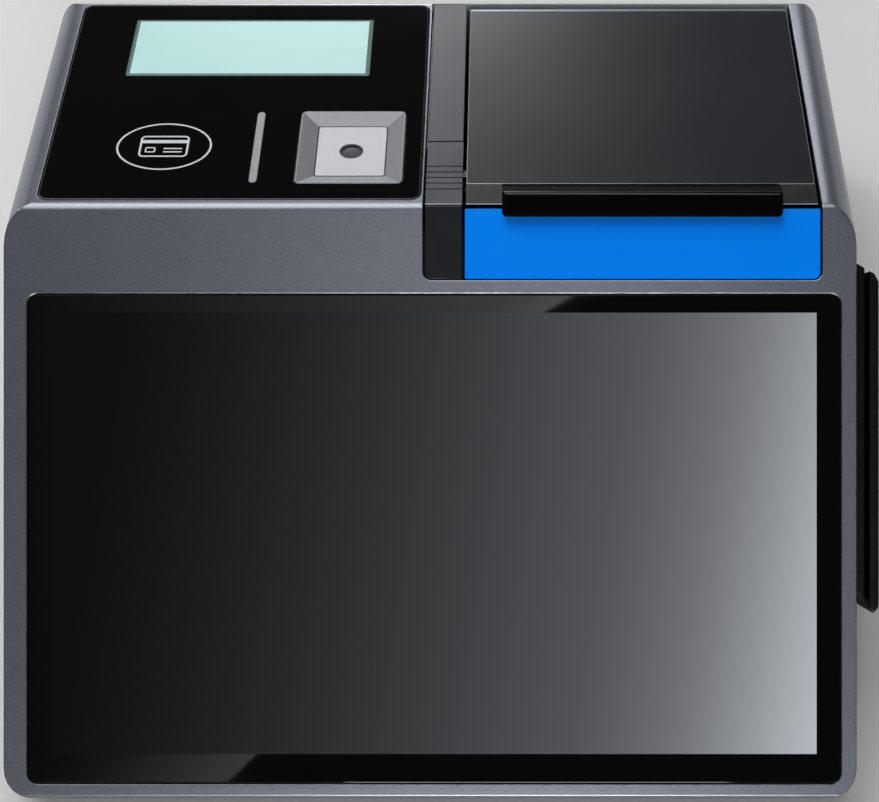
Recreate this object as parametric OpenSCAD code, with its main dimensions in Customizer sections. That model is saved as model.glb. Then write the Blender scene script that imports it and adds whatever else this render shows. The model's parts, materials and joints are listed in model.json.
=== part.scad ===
// Countertop point of sale terminal: wedge body with a sloping touch screen, a customer panel
// with display, contactless area and code scanner, a drop-in receipt printer and a card reader.
// Millimetres, +Z up, the operator stands on the -Y side, feet on Z = 0.

/* [Body] */
// Width of the housing without the card reader
body_w = 286; // [270:1:310]
// Length of the sloping front face, front edge to ridge
face_len = 199; // [190:1:215]
// Slope of the front face from the table
face_tilt = 30; // [27:1:33]
// Fall of the top deck towards the rear
deck_fall = 14; // [12:1:16]
// Length of the top deck, ridge to rear edge
deck_len = 118; // [117:1:125]
// Height of the front edge above the table
lip_h = 20; // [18:0.5:26]
// Housing wall
wall = 2.5; // [2.2:0.1:3]
// Height of the feet below the base
foot_h = 3; // [2:0.5:5]
// Height of the seam between the upper shell and the base
split_z = 12; // [11:0.5:14]
// Radius of the long deck edges
side_round = 9.5; // [7:0.5:10]
// Radius of the lower front corners
front_corner = 10; // [6:0.5:12]
// Radius of the upright rear corners
rear_corner = 6; // [4:0.5:8]
// Radius of the ridge between face and deck
ridge_round = 4.5; // [1:0.5:6]
// Radius of the rear deck edge
rear_round = 3; // [2:0.5:3]
// Radius of the front edge
front_round = 1.5; // [1:0.25:2]

/* [Screen] */
// Housing left of and right of the touch glass, each
glass_side = 6.75; // [6:0.05:9]
// Housing between the printer opening and the touch glass
glass_band = 4.8; // [4.6:0.1:8]
// Thickness of the touch glass
glass_t = 1.8; // [1.5:0.1:2]
// Corner radius of the touch glass
glass_corner = 3.5; // [2:0.5:6]
// Distance from the front edge to the glass
glass_low = 5.3; // [4:0.1:7]
// Sideways shift of the glass from the middle
glass_shift = 1.35; // [0:0.05:2]
// Black border of the glass beside the display module
lcd_side = 6.75; // [5:0.05:9]
// Black border of the glass above and below the display module
lcd_edge = 6.15; // [5:0.05:8]
// Thickness of the display module
lcd_t = 3.5; // [3:0.1:4]

/* [Customer panel] */
// Housing left of the black panel
panel_side = 10.6; // [10:0.1:14]
// Housing behind the black panel
panel_end = 2.7; // [2.5:0.1:6]
// Distance from the ridge to the panel
panel_start = 3.1; // [3:0.1:4]
// Thickness of the panel
panel_t = 2; // [1.6:0.1:2.2]
// Width of the customer display window
window_w = 88.2; // [80:0.2:92]
// Length of the customer display window
window_len = 35.1; // [30:0.1:36]
// Outer width of the scanner bezel
bezel_w = 36.8; // [34:0.2:38]
// Outer length of the scanner bezel
bezel_len = 39.7; // [36:0.1:41]
// Slope width of the scanner bezel
bezel_slope = 6; // [4:0.5:7]
// Depth of the scanner plate below the deck
plate_depth = 2; // [1.5:0.1:2.5]
// Radius of the scanner lens opening
lens_r = 4.05; // [3.5:0.05:5]

/* [Printer] */
// Housing right of the printer lid
lid_side = 12.7; // [11:0.1:15]
// Thickness of the glossy lid cover
cover_t = 1.5; // [1.3:0.1:1.7]
// Radius of the rolled rear edge of the lid
hinge_round = 4.4; // [4.2:0.1:6]
// Space for the drive beside the paper bay, on each side
bay_side = 17.175; // [16:0.025:19]
// Distance from the ridge to the paper bay
bay_start = 22; // [21:0.5:24]
// Radius of the platen rubber
platen_r = 5.5; // [5:0.1:6]
// Radius of the platen shaft
shaft_r = 2.5; // [2:0.1:3]
// Gear tooth module
gear_mod = 0.5; // [0.4:0.05:0.5]
// Height of the front opening under the ridge
front_open = 25.1; // [22:0.1:26]
// Width of the release button strip
strip_w = 12.4; // [11:0.1:12.8]
// Length of the release button
button_len = 33.2; // [32:0.1:36]
// Travel of the release button
button_travel = 2.5; // [2:0.1:2.5]
// Reach of the tear bar in front of the face
tear_reach = 3.2; // [3:0.1:4]
// Rise of the tear bar's crest up the face from the ridge
tear_rise = 4; // [3:0.1:4.5]
// Reach of the tear bar beside the paper bay
tear_over = 5; // [3:0.5:8]

/* [Card reader] */
// How far the card reader stands out of the right wall
reader_reach = 9; // [8:0.5:11]
// Width of the card slot
slot_w = 1.4; // [1.2:0.1:1.8]
// Depth of the card slot
slot_depth = 20; // [16:0.5:21]

/* [Clearances] */
// Gap around lids, panels and buttons
seam = 0.3; // [0.2:0.05:0.4]
// Radial gap of pins and shafts in their bores
fit = 0.05; // [0.03:0.01:0.08]
// Gap between parts that pass each other
pass = 0.4; // [0.3:0.05:0.5]

/* [Hidden] */
$fn = 48;

fold = face_tilt + deck_fall;
ridge_y = face_len * cos(face_tilt);
ridge_z = lip_h + face_len * sin(face_tilt);
rear_y = ridge_y + deck_len * cos(deck_fall);
rear_z = ridge_z - deck_len * sin(deck_fall);
front_y = front_round * (sin(face_tilt) + cos(face_tilt) - 1);
floor_z = foot_h + wall;
half_w = body_w / 2;
in_w = half_w - wall;
far = 500;

// screen positions, measured from the ridge down the face
glass_w = body_w - 2 * glass_side;
glass_h = face_len - glass_low - glass_band - front_open;
lcd_w = glass_w - 2 * lcd_side;
lcd_h = glass_h - 2 * lcd_edge;
glass_y = glass_low + glass_h / 2 - face_len;
lcd_x = glass_shift + 0.25;
lcd_y = glass_y + 1.8;
ledge_w = -(glass_t + 0.5);
bracket_w = -(glass_t + lcd_t);
bracket_t = 1.2;

// printer positions across the body
cut_l = -2.4;
strip_x = -1.7;
strip_t = 3;
opening_r = 3;
lid_x = 11.95;
lid_end = half_w - lid_side;
lid_w = lid_end - lid_x;
lid_mid = lid_x + lid_w / 2;
cut_r = lid_end + 1.2;
cover_x = lid_x - 0.3;
cover_end = cut_r - 0.6;
bay_l = lid_x + bay_side;
bay_end = lid_end - bay_side;
bay_w = bay_end - bay_l;
roll_half = bay_w / 2 - 2;
tear_w = bay_w + 2 * tear_over;
// the drive's pieces share the space beside the bay
plate_t = bay_side * 0.09;
plate_l = bay_l - bay_side * 0.47;
plate_end = bay_end + bay_side * 0.4;
gear_x = lid_x + bay_side * 0.21;
gear_w = bay_side * 0.23;
hook_x = lid_x + bay_side * 0.006;
hook_w = bay_side * 0.15;
ear_w = bay_side * 0.2;
ear_xs = [bay_l - bay_side * 0.29, bay_end + bay_side * 0.09];

// printer positions along the deck and below it
cut_rear = deck_len - 1.5;
hinge_l = cut_rear - 0.5 - hinge_round;
hinge_z = -hinge_round;
hinge_pin_r = 1.5;
knuckle_r = hinge_round - cover_t - 0.2;
frame_t = 1.1;
under_z = -cover_t - frame_t;
bay_low_z = -80;
bay_r = (hinge_l - bay_start - 4.5) / 2;
bay_at = [bay_start + bay_r, bay_low_z + bay_r];
shell_t = 2;
bay_rim = -12;
bay_low = -26;
bay_front = bay_at[0] - bay_r + 14;
bolts_at = [[bay_front - 2.5, bay_low - 4], [bay_front - 6, bay_low - 14]];
bolt_r = 1.2;
bolt_head_r = 2.5;
bolt_grip = 3.5;
lid_front = 11.1;
cover_gap = 0.4;
cover_low = -front_open + cover_gap;
cover_top = -1.1;
platen_at = face_pt(4.5, -18);
bush_r = shaft_r + 1.5;
head_gap = 0.3;
head_top = 4.5 - platen_r - head_gap;
head_turn = [-3.5, -27.5];
pin_r = 1.5;
latch_at = [25, -16];
guide_at = [strip_x + strip_w / 2, 8.5];
guide_r = 2;
guide_top = -strip_t - button_travel - 3.5;

// gear train
platen_teeth = 20;
idler_teeth = 40;
pinion_teeth = 12;
idler_at = platen_at + [0, -(platen_teeth + idler_teeth) * gear_mod / 2 - 0.05];
pinion_dir = 240;
pinion_gap = (pinion_teeth + idler_teeth) * gear_mod / 2 + 0.05;
pinion_at = idler_at + pinion_gap * [cos(pinion_dir), sin(pinion_dir)];
idler_phase = 90 + 180 / idler_teeth;
idler_off = ((idler_phase - pinion_dir) % (360 / idler_teeth) + 360 / idler_teeth)
  % (360 / idler_teeth);
pinion_phase = pinion_dir + 180 - idler_off * idler_teeth / pinion_teeth + 180 / pinion_teeth;
axle_r = 2;
press_fit = 0.02;
pinion_shaft_r = 1;
motor_r = 10;
motor_len = 18;

// customer panel positions
panel_right = -3.5;
panel_w = half_w - panel_side + panel_right;
panel_len = deck_len - panel_start - panel_end;
panel_x = panel_right - panel_w / 2;
panel_y = panel_start + panel_len / 2;
floor_t = 3;
floor_under = -panel_t - floor_t;
window_x = panel_x;
window_y = panel_start + panel_len - 26.05;
display_margin = 2.4;
row_y = panel_start + 28.2;
scan_at = [panel_right - 24.7, row_y];
scan_plate = [bezel_w - 2 * bezel_slope - 1, bezel_len - 2 * bezel_slope - 1];
scan_plate_t = 1.3;
bezel_neck = 3.8;
light_at = [panel_x + 7.25, row_y];
light_len = 38.7;
light_w = 2.8;
tap_at = [panel_x - 24.95, row_y];

// base and electronics
boss_x = in_w - 3.7;
boss_r = 4;
boss_ys = [30, rear_y * 0.52, rear_y - 17];
boss_h = 14;
screw_r = 1.45;
pilot_r = 1.5;
clear_r = 1.7;
head_r = 2.8;
foot_r = 9;
foot_sink = 1.5;
foot_x = half_w - 21;
foot_ys = [38, rear_y - 22];
board_size = [120, 88];
board_half = board_size[0] / 2;
board_l = 11 - half_w;
board_x = board_l + board_half;
board_y = rear_y - 9 - board_size[1] / 2;
board_z = split_z;
board_t = 1.6;
board_top = board_z + board_t;
chip_h = 2;
sink_w = 36;
board_holes = [for (sx = [-1, 1], sy = [-1, 1])
  [board_x + sx * (board_half - 5), board_y + sy * (board_size[1] / 2 - 5)]];
port_top = 35;
port_face = rear_y - 0.5;
dc_x = board_l + 14;
lan_x = dc_x + 19;
usb_xs = [lan_x + 22, lan_x + 40];
drawer_x = usb_xs[1] + 20;
port_x = [dc_x - 10, drawer_x + 15];
leg_xs = [bay_l + 4, bay_end - 4];
leg_ys = [ridge_y + 36, ridge_y + 78];
leg_r = 4;
leg_foot = floor_z + 4.5;
leg_top = ridge_z - 57.5;
leg_sink = 3;
boss_sink = 5;
case_screw_len = 14;
leg_screw_len = 13;
speaker_at = [half_w - 73, rear_y * 0.35];
speaker_r = 16;
power_at = [ridge_y + 45, 46];
power_r = 5;
power_travel = 1;
power_flange = power_r + 1.6;
power_stub = wall + 2.4;
power_board = power_stub + power_travel + 2.6;
power_post_r = 2.2;
power_post_at = power_flange + power_post_r + 0.7;

// card reader, measured along and below the face
reader_w = -8;
reader_low = -36;
reader_in = 4.2;
reader_top = -18;
reader_end = 61 - face_len;
reader_heads = [reader_end + 26, reader_top - 28];
reader_mid = (reader_top + reader_end) / 2 - 1;
reader_plan = [[half_w, reader_top], [half_w + reader_reach - 1.5, reader_top - 4.3],
  [half_w + reader_reach, reader_top - 7], [half_w + reader_reach, reader_end + 2.5],
  [half_w + reader_reach - 2, reader_end], [half_w, reader_end + 9.5]];

// Frames
module in_body() translate([-reader_reach / 2, -(rear_y + front_y) / 2, 0]) children();
module on_face() in_body() translate([0, ridge_y, ridge_z]) rotate([face_tilt, 0, 0]) children();
module on_deck() in_body() translate([0, ridge_y, ridge_z]) rotate([-deck_fall, 0, 0]) children();
// Side profile drawn in (length, height), drawn out across the body from x0 to x1
module across(x0, x1) translate([x0, 0, 0]) rotate([90, 0, 90]) linear_extrude(x1 - x0) children();
// A point given down the face and out of it, as deck length and height
function face_pt(v, w) = [v * cos(fold) - w * sin(fold), v * sin(fold) + w * cos(fold)];

// Outlines
function unit(p) = p / norm(p);
function half_angle(a, b) = acos(a * b) / 2;
function corner_arc(p, q, s, r, n) =
  let (a = unit(p - q), b = unit(s - q), h = half_angle(a, b), c = q + unit(a + b) * r / sin(h))
  let (m = unit(q - c), turn = 90 - h, way = a[0] * b[1] - a[1] * b[0] > 0 ? -1 : 1)
  [for (i = [0:n]) let (t = way * turn * (2 * i / n - 1))
    c + r * [m[0] * cos(t) - m[1] * sin(t), m[0] * sin(t) + m[1] * cos(t)]];
function rounded(pts, radii, n = 6) = [for (i = [0:len(pts) - 1])
  let (k = len(pts), p = pts[(i + k - 1) % k], q = pts[i], s = pts[(i + 1) % k])
  each (radii[i] > 0 ? corner_arc(p, q, s, radii[i], n) : [q])];
function inset(pts, d) = [for (i = [0:len(pts) - 1])
  let (k = len(pts), q = pts[i], a = unit(pts[(i + k - 1) % k] - q), b = unit(pts[(i + 1) % k] - q))
  q + unit(a + b) * d / sin(half_angle(a, b))];
module rect(w, h, r) {
  if (w > 2 * r) square([w - 2 * r, h], center = true);
  if (h > 2 * r) square([w, h - 2 * r], center = true);
  for (sx = [-1, 1], sy = [-1, 1]) translate([sx * (w / 2 - r), sy * (h / 2 - r)]) circle(r);
}
module slab(w, h, r, z0, z1) translate([0, 0, z0]) linear_extrude(z1 - z0) rect(w, h, r);
module box(x0, x1, y0, y1, z0, z1) translate([x0, y0, z0]) cube([x1 - x0, y1 - y0, z1 - z0]);
module rod(r, x0, x1, at) translate([x0, at[0], at[1]]) rotate([0, 90, 0]) cylinder(h = x1 - x0, r = r);
module post(r, at, z0, z1) translate([at[0], at[1], z0]) cylinder(h = z1 - z0, r = r);
// Coil of round wire standing on z = 0
module coil(r, wire, turns, h) {
  rings = turns * 12;
  sides = 6;
  at = function (i, j) let (a = 360 * turns * i / rings, b = 360 * j / sides, g = r + wire * cos(b))
    [g * cos(a), g * sin(a), wire + (h - 2 * wire) * i / rings + wire * sin(b)];
  polyhedron(
    points = [for (i = [0:rings], j = [0:sides - 1]) at(i, j)],
    faces = concat([[for (j = [0:sides - 1]) j]],
      [for (i = [0:rings - 1], j = [0:sides - 1]) let (k = (j + 1) % sides)
        each [[i * sides + k, i * sides + j, (i + 1) * sides + j],
          [i * sides + k, (i + 1) * sides + j, (i + 1) * sides + k]]],
      [[for (j = [sides - 1:-1:0]) rings * sides + j]]));
}

// Gear outline with involute flanks
function roll(r, rb) = r > rb ? sqrt(r * r / rb / rb - 1) : 0;
function flank(r, rb) = roll(r, rb) * 180 / PI - atan(roll(r, rb));
module gear(teeth, turn) {
  rp = teeth * gear_mod / 2;
  rb = rp * cos(20);
  root = rp - 1.25 * gear_mod;
  tip = rp + 0.85 * gear_mod;
  half = 90 / teeth * 0.84;
  rs = [root, max(root + 0.05, rb), (max(root, rb) + tip) / 2, tip];
  polygon([for (i = [0:teeth - 1], side = [-1, 1], j = [0:3])
    let (r = side < 0 ? rs[j] : rs[3 - j], g = half + flank(rp, rb) - flank(r, rb),
      a = turn + 360 * i / teeth + side * g)
    r * [cos(a), sin(a)]]);
}

// Housing
body_side = [[(lip_h - foot_h) * tan(face_tilt), foot_h], [rear_y, foot_h], [rear_y, rear_z],
  [ridge_y, ridge_z], [0, lip_h]];
module body_solid(d) {
  side_rounds = [0, 0, rear_round, ridge_round, front_round];
  trims = [for (r = side_rounds) r > d ? r - d : 0];
  deck_edge = half_w - d;
  intersection() {
    in_body() across(-deck_edge, deck_edge) polygon(rounded(inset(body_side, d), trims));
    on_deck() translate([0, far, 0]) rotate([90, 0, 0]) linear_extrude(2 * far)
      polygon(rounded([[-deck_edge, -far], [deck_edge, -far], [deck_edge, -d], [-deck_edge, -d]],
        [0, 0, side_round - d, side_round - d]));
    on_face() translate([0, 0, -far]) linear_extrude(2 * far)
      polygon(rounded([[-deck_edge, d - face_len], [deck_edge, d - face_len], [deck_edge, far],
        [-deck_edge, far]], [front_corner - d, front_corner - d, 0, 0]));
    in_body() linear_extrude(far)
      polygon(rounded([[-deck_edge, -far], [deck_edge, -far], [deck_edge, rear_y - d],
        [-deck_edge, rear_y - d]], [0, 0, rear_corner - d, rear_corner - d]));
  }
}
module above(z) in_body() box(-far, far, -far, far, z, far);
module below(z) in_body() box(-far, far, -far, far, -far, z);

module upper_shell() color("#5d6168") {
  shell_walls();
  opening_corners();
}
module shell_walls() difference() {
  union() {
    intersection() {
      difference() {
        body_solid(0);
        body_solid(wall);
      }
      above(split_z);
    }
    intersection() {
      body_solid(wall / 2);
      above(split_z);
      union() {
        screen_ledge();
        deck_floor();
        shell_bosses();
        power_posts();
      }
    }
  }
  screen_cuts();
  panel_cuts();
  printer_cuts();
  wall_cuts();
}
module screen_ledge() on_face()
  box(-half_w, half_w, -face_len, -front_open - 3.5, bracket_w, -wall / 2);
module deck_floor() on_deck()
  box(-half_w, strip_x + 3, 1.5, deck_len + 10, floor_under, -wall / 2);
module shell_bosses() in_body() for (sx = [-1, 1], y = boss_ys)
  post(boss_r, [sx * boss_x, y], split_z, split_z + boss_h);
module power_posts() in_body() for (dy = [-power_post_at, power_post_at])
  rod(power_post_r, -half_w + wall / 2, -half_w + power_board, power_at + [dy, 0]);
module screen_cuts() on_face() {
  translate([glass_shift, glass_y]) slab(glass_w + 2 * seam, glass_h + 2 * seam, glass_corner + seam,
    ledge_w, far);
  translate([lcd_x, lcd_y]) slab(lcd_w + 1, lcd_h + 1, 1, -20, far);
  for (p = bracket_holes()) post(1.2, p, bracket_w - 0.1, bracket_w + 2.2);
}
function bracket_holes() = [for (x = [-half_w + 10, half_w - 8], dy = [-0.436 * lcd_h, 0, 0.436 * lcd_h])
  [x, lcd_y + dy]];
module panel_cuts() on_deck() {
  translate([panel_x, panel_y]) slab(panel_w + 2 * seam, panel_len + 2 * seam, 3.5 + seam,
    -panel_t, far);
  translate([window_x, window_y]) slab(window_w + 2 * display_margin + 2 * seam,
    window_len + 2 * display_margin + 2 * seam, 1, -20, far);
  translate(light_at) slab(light_w + 2 * seam, light_len + 2 * seam, light_w / 2, -20, far);
  translate(scan_at) slab(bezel_w - 2 * bezel_neck + 2 * seam, bezel_len - 2 * bezel_neck + 2 * seam, 1,
    -20, far);
}
module printer_cuts() on_deck() {
  across(cut_l, cut_r) polygon([[cut_rear, -strip_t], [cut_rear, far], face_pt(-front_open, far),
    face_pt(-front_open, -strip_t), [(1 - cos(fold)) * strip_t / sin(fold), -strip_t]]);
  box(cut_l, cut_r, -far, button_len + 1, floor_under - 1, -strip_t + 0.1);
}
// Rounded lower corners of the printer opening
module opening_corners() on_face() for (side = [-1, 1])
  translate([side < 0 ? cut_l : cut_r, -front_open, -wall]) mirror([side > 0 ? 1 : 0, 0, 0])
    linear_extrude(wall) difference() {
      translate([-0.4, -0.4]) square(opening_r + 0.4);
      translate([opening_r, opening_r]) circle(opening_r);
    }
module wall_cuts() {
  in_body() {
    for (sx = [-1, 1], y = boss_ys) post(pilot_r, [sx * boss_x, y], -1, split_z + boss_h - 2);
    rod(power_r + seam, -half_w - 1, -half_w + wall + 1, power_at);
    box(port_x[0], port_x[1], rear_y - wall - 1, rear_y + 1, 0, port_top);
  }
  on_face() for (v = reader_heads) rod(clear_r, half_w - wall - 1, half_w + 1, [v, -22]);
}

module base_tray() color("#2c2e33") difference() {
  union() {
    intersection() {
      difference() {
        body_solid(0);
        body_solid(wall);
      }
      below(split_z);
    }
    intersection() {
      body_solid(wall / 2);
      below(split_z);
      in_body() {
        for (sx = [-1, 1], y = boss_ys) post(boss_r, [sx * boss_x, y], foot_h, split_z);
      }
    }
    in_body() {
      for (p = board_holes) post(3.5, p, floor_z - 1, board_z);
      for (x = leg_xs, y = leg_ys) post(leg_r + 1, [x, y], floor_z - 1, leg_foot);
      for (sx = [-1, 1], y = [rear_y * 0.28, rear_y * 0.7]) locating_tab(sx, y);
      for (x = [-half_w * 0.42, half_w * 0.42]) front_tab(x);
    }
  }
  in_body() {
    for (sx = [-1, 1], y = boss_ys) screw_way([sx * boss_x, y], boss_sink);
    for (x = leg_xs, y = leg_ys) screw_way([x, y], leg_sink);
    for (p = board_holes) post(pilot_r, p, floor_z, board_z + 1);
    for (sx = [-1, 1], y = foot_ys) post(foot_r + 0.1, [sx * foot_x, y], 0, foot_h + foot_sink);
    for (i = [-3:3]) translate([speaker_at[0] + 4 * i, speaker_at[1]])
      slab(1.8, 18, 0.9, 0, floor_z + 1);
    for (i = [0:11]) translate([board_x - 44 + 8 * i, board_y - 5]) slab(3, 34, 1.5, 0, floor_z + 1);
  }
}
module locating_tab(side, y) translate([side * (in_w - seam - 1), y, 0])
  translate([-1, -10, split_z - 4]) {
    cube([2, 20, 7]);
    translate([side > 0 ? 1.5 : -seam - 0.5, 0, 0]) cube([seam + 1, 20, 4]);
  }
module front_tab(x) on_wall_front() {
  box(x - 12, x + 12, wall + seam, wall + seam + 2, -4, 3);
  box(x - 12, x + 12, wall - 0.5, wall + seam + 1, -4, 0);
}
// The front wall leans back, so its tabs stand square to the seam behind the wall
module on_wall_front() translate([0, (lip_h - split_z) * tan(face_tilt) + 2.6, split_z]) children();
module screw_way(at, sink) {
  post(head_r + 0.4, at, 0, foot_h + sink);
  post(clear_r, at, 0, split_z + 1);
}
module rubber_feet() color("#1a1a1b") in_body() for (sx = [-1, 1], y = foot_ys)
  translate([sx * foot_x, y, 0]) rotate_extrude() polygon([[0, 0], [foot_r - 1, 0],
    [foot_r, 1], [foot_r, foot_h + foot_sink], [0, foot_h + foot_sink]]);
module screw(at, under, length, grip) {
  post(head_r, at, under - 2, under);
  post(grip, at, under - 0.5, under + length);
}
module case_screws() color("#b8bcc2") in_body() {
  for (sx = [-1, 1], y = boss_ys) screw([sx * boss_x, y], foot_h + boss_sink, case_screw_len, screw_r);
  for (x = leg_xs, y = leg_ys) screw([x, y], foot_h + leg_sink, leg_screw_len, screw_r);
}

// Screen
module touch_glass() color("#0b0b0d") on_face() translate([glass_shift, glass_y])
  slab(glass_w, glass_h, glass_corner, -glass_t, 0);
module screen_gasket() color("#202123") on_face() difference() {
  translate([glass_shift, glass_y]) slab(glass_w - 1, glass_h - 1, glass_corner, ledge_w, -glass_t);
  translate([lcd_x, lcd_y]) slab(lcd_w + 1, lcd_h + 1, 1, ledge_w - 1, 0);
}
module lcd_panel() color("#3a3d42") on_face() translate([lcd_x, lcd_y])
  slab(lcd_w, lcd_h, 1, bracket_w, -glass_t);
module lcd_bracket() color("#a9adb2") on_face() difference() {
  union() {
    box(-in_w + 4, in_w - 1.5, wall + 4.5 - face_len, -front_open - 4, bracket_w - bracket_t, bracket_w);
    for (dx = [-0.27 * lcd_w, 0.27 * lcd_w]) translate([lcd_x + dx, lcd_y, bracket_w - bracket_t - 3])
      translate([-3, -0.4 * lcd_h, 0]) cube([6, 0.8 * lcd_h, 3.5]);
  }
  for (p = bracket_holes()) post(1.35, p, bracket_w - 9, far);
  for (k = [-0.39, -0.135, 0.135, 0.39]) translate([lcd_x + k * lcd_w, lcd_y])
    slab(0.17 * lcd_w, 0.66 * lcd_h, 6, bracket_w - 9, far);
}
module bracket_screws() color("#b8bcc2") on_face() for (p = bracket_holes()) {
  post(2.2, p, bracket_w - bracket_t - 1.4, bracket_w - bracket_t);
  post(1.15, p, bracket_w - bracket_t - 0.5, bracket_w + 2);
}

// Customer panel
module customer_panel() color("#0d0d0f") on_deck() difference() {
  translate([panel_x, panel_y]) slab(panel_w, panel_len, 3.5, -panel_t, 0);
  translate([window_x, window_y]) slab(window_w, window_len, 1, -20, far);
  translate(light_at) slab(light_w + 2 * seam, light_len + 2 * seam, light_w / 2, -20, far);
  translate(scan_at) slab(bezel_w + 2 * seam, bezel_len + 2 * seam, 2, -20, far);
}
module customer_display() color("#bfeae6") on_deck() translate([window_x, window_y])
  slab(window_w + 2 * display_margin, window_len + 2 * display_margin, 1, floor_under, -panel_t);
module display_board() color("#1f5a3c") on_deck() translate([window_x, window_y]) {
  slab(window_w + 14, window_len + 10, 2, floor_under - 1.6, floor_under);
  slab(30, 8, 0.5, floor_under - 4.5, floor_under - 1);
}
module contactless_antenna() color("#1f5a3c") on_deck() translate(tap_at) {
  slab(46, 40, 2, floor_under - 1.2, floor_under);
  for (i = [0:3]) difference() {
    slab(44 - 4 * i, 38 - 4 * i, 2, floor_under - 1.5, floor_under - 1);
    slab(42.4 - 4 * i, 36.4 - 4 * i, 1.5, floor_under - 2, floor_under);
  }
}
module status_light() color("#9b9ca0") on_deck() translate(light_at)
  slab(light_w, light_len, light_w / 2 - 0.01, floor_under, 0);
module light_board() color("#1f5a3c") on_deck() translate(light_at)
  slab(8, light_len + 6, 1, floor_under - 1.2, floor_under);
module scanner_bezel() color("#8d8f93") on_deck() translate(scan_at) difference() {
  union() {
    slab(bezel_w, bezel_len, 2, -panel_t, 0);
    slab(bezel_w - 2 * bezel_neck, bezel_len - 2 * bezel_neck, 1, floor_under, -panel_t + 0.5);
  }
  bezel_dish();
  slab(scan_plate[0] + 2 * seam, scan_plate[1] + 2 * seam, 1, -plate_depth - scan_plate_t, far);
  slab(scan_plate[0] - 4, scan_plate[1] - 4, 1, -20, far);
}
// Four sloping walls down to the scanner plate
module bezel_dish() {
  top = [bezel_w / 2 - 0.6, bezel_len / 2 - 0.6];
  low = [scan_plate[0] / 2 + seam, scan_plate[1] / 2 + seam];
  ring = [[-1, -1], [1, -1], [1, 1], [-1, 1]];
  polyhedron(
    points = concat([for (c = ring) [c[0] * low[0], c[1] * low[1], -plate_depth]],
      [for (c = ring) [c[0] * top[0], c[1] * top[1], 0.01]]),
    faces = [[0, 1, 2, 3], [7, 6, 5, 4], [0, 4, 5, 1], [1, 5, 6, 2], [2, 6, 7, 3], [3, 7, 4, 0]]);
}
module scanner_plate() color("#c3c4c8") on_deck() translate(scan_at) difference() {
  slab(scan_plate[0], scan_plate[1], 0.8, -plate_depth - scan_plate_t, -plate_depth);
  post(lens_r, [0, 0], -20, far);
}
module scanner_engine() color("#26282b") on_deck() translate(scan_at) difference() {
  union() {
    slab(bezel_w - 2, bezel_len - 2, 1.5, floor_under - 1.6, floor_under);
    slab(18, 20, 1, floor_under - 13, floor_under - 1);
    post(lens_r - 0.3, [0, 0], floor_under - 1, -plate_depth - 0.6);
  }
  post(lens_r - 1.1, [0, 0], -plate_depth - 2.4, far);
}
module scanner_lens() color("#182430") on_deck() translate([scan_at[0], scan_at[1], -plate_depth - 2.4])
  rotate_extrude() polygon([[0, 0], [lens_r - 1.15, 0], [lens_r - 1.15, 0.8],
    [(lens_r - 1.15) * 0.6, 1.2], [0, 1.4]]);

// Printer front
module front_carrier() color("#26292e") difference() {
  union() {
    on_face() box(cut_l - 3, cut_r + 3, -front_open - 3, -9, -wall - 2, -wall);
    intersection() {
      on_deck() box(guide_at[0] - 4, guide_at[0] + 4, -20, guide_at[1] + 4.5, guide_top - 6, guide_top);
      on_face() box(-far, far, -far, far, -far, -wall - 1);
    }
  }
  on_deck() post(guide_r + fit, guide_at, -30, far);
}
module front_cover() color("#0b7be9") on_face() translate([0, 0, -wall]) linear_extrude(wall)
  polygon(rounded([[cover_x, cover_low], [cover_end, cover_low], [cover_end, cover_top], [cover_x, cover_top]],
    [0.6, 2.2, 0.6, 0.6]));
module strip_front() color("#2b2e34") difference() {
  on_deck() across(strip_x, strip_x + strip_w)
    polygon([face_pt(cover_low, 0), face_pt(-0.4, 0), [-0.1, face_pt(-0.4, 0)[1]],
      [-0.1, -wall / cos(fold)], face_pt(cover_low, -wall)]);
  on_face() translate([cut_l, -front_open, -far]) linear_extrude(2 * far) difference() {
    square(opening_r);
    translate([opening_r, opening_r]) circle(opening_r + front_open + cover_low - 2 * cover_gap);
  }
}
module side_strip() color("#33363b") on_deck() {
  box(strip_x, strip_x + strip_w, button_len + 1.2, cut_rear - seam, -strip_t, 0);
  box(strip_x + 4, strip_x + strip_w - 1, button_len + 2, cut_rear - 2, -strip_t - 2, -strip_t + 0.5);
}

// Paper bay
module paper_bucket() color("#202226") difference() {
  union() {
    on_deck() across(bay_l - shell_t, bay_end + shell_t) bucket_side(shell_t);
    on_deck() for (x = [bay_l + 6.5, bay_end - 10]) across(x, x + 3.5) hinge_lug();
    on_deck() for (p = bolts_at) {
      rod(bolt_head_r + 1, plate_l + plate_t, bay_l, p);
      rod(bolt_head_r + 1, bay_end, plate_end, p);
    }
    in_body() for (x = leg_xs, y = leg_ys) post(leg_r, [x, y], leg_foot, leg_top);
  }
  on_deck() across(bay_l, bay_end) bucket_hole();
  on_deck() rod(hinge_pin_r + fit, bay_l, bay_end, [hinge_l, hinge_z]);
  on_deck() for (p = bolts_at) {
    rod(bolt_r + fit, plate_l, plate_l + plate_t + bolt_grip + 0.5, p);
    rod(bolt_r + fit, plate_end - bolt_grip - 0.5, plate_end + plate_t, p);
  }
  in_body() for (x = leg_xs, y = leg_ys) post(pilot_r, [x, y], 0, foot_h + leg_sink + leg_screw_len + 1);
}
module bucket_side(t) intersection() {
  union() {
    translate(bay_at) circle(bay_r + t);
    translate([bay_at[0] - bay_r - t, bay_at[1]]) square([2 * (bay_r + t), far]);
  }
  polygon([[-far, -far], [far, -far], [far, bay_rim], [bay_front + 8, bay_rim], [bay_front, bay_low],
    [-far, bay_low]]);
}
module bucket_hole() {
  translate(bay_at) circle(bay_r);
  translate([bay_at[0] - bay_r, bay_at[1]]) square([2 * bay_r, far]);
}
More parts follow.
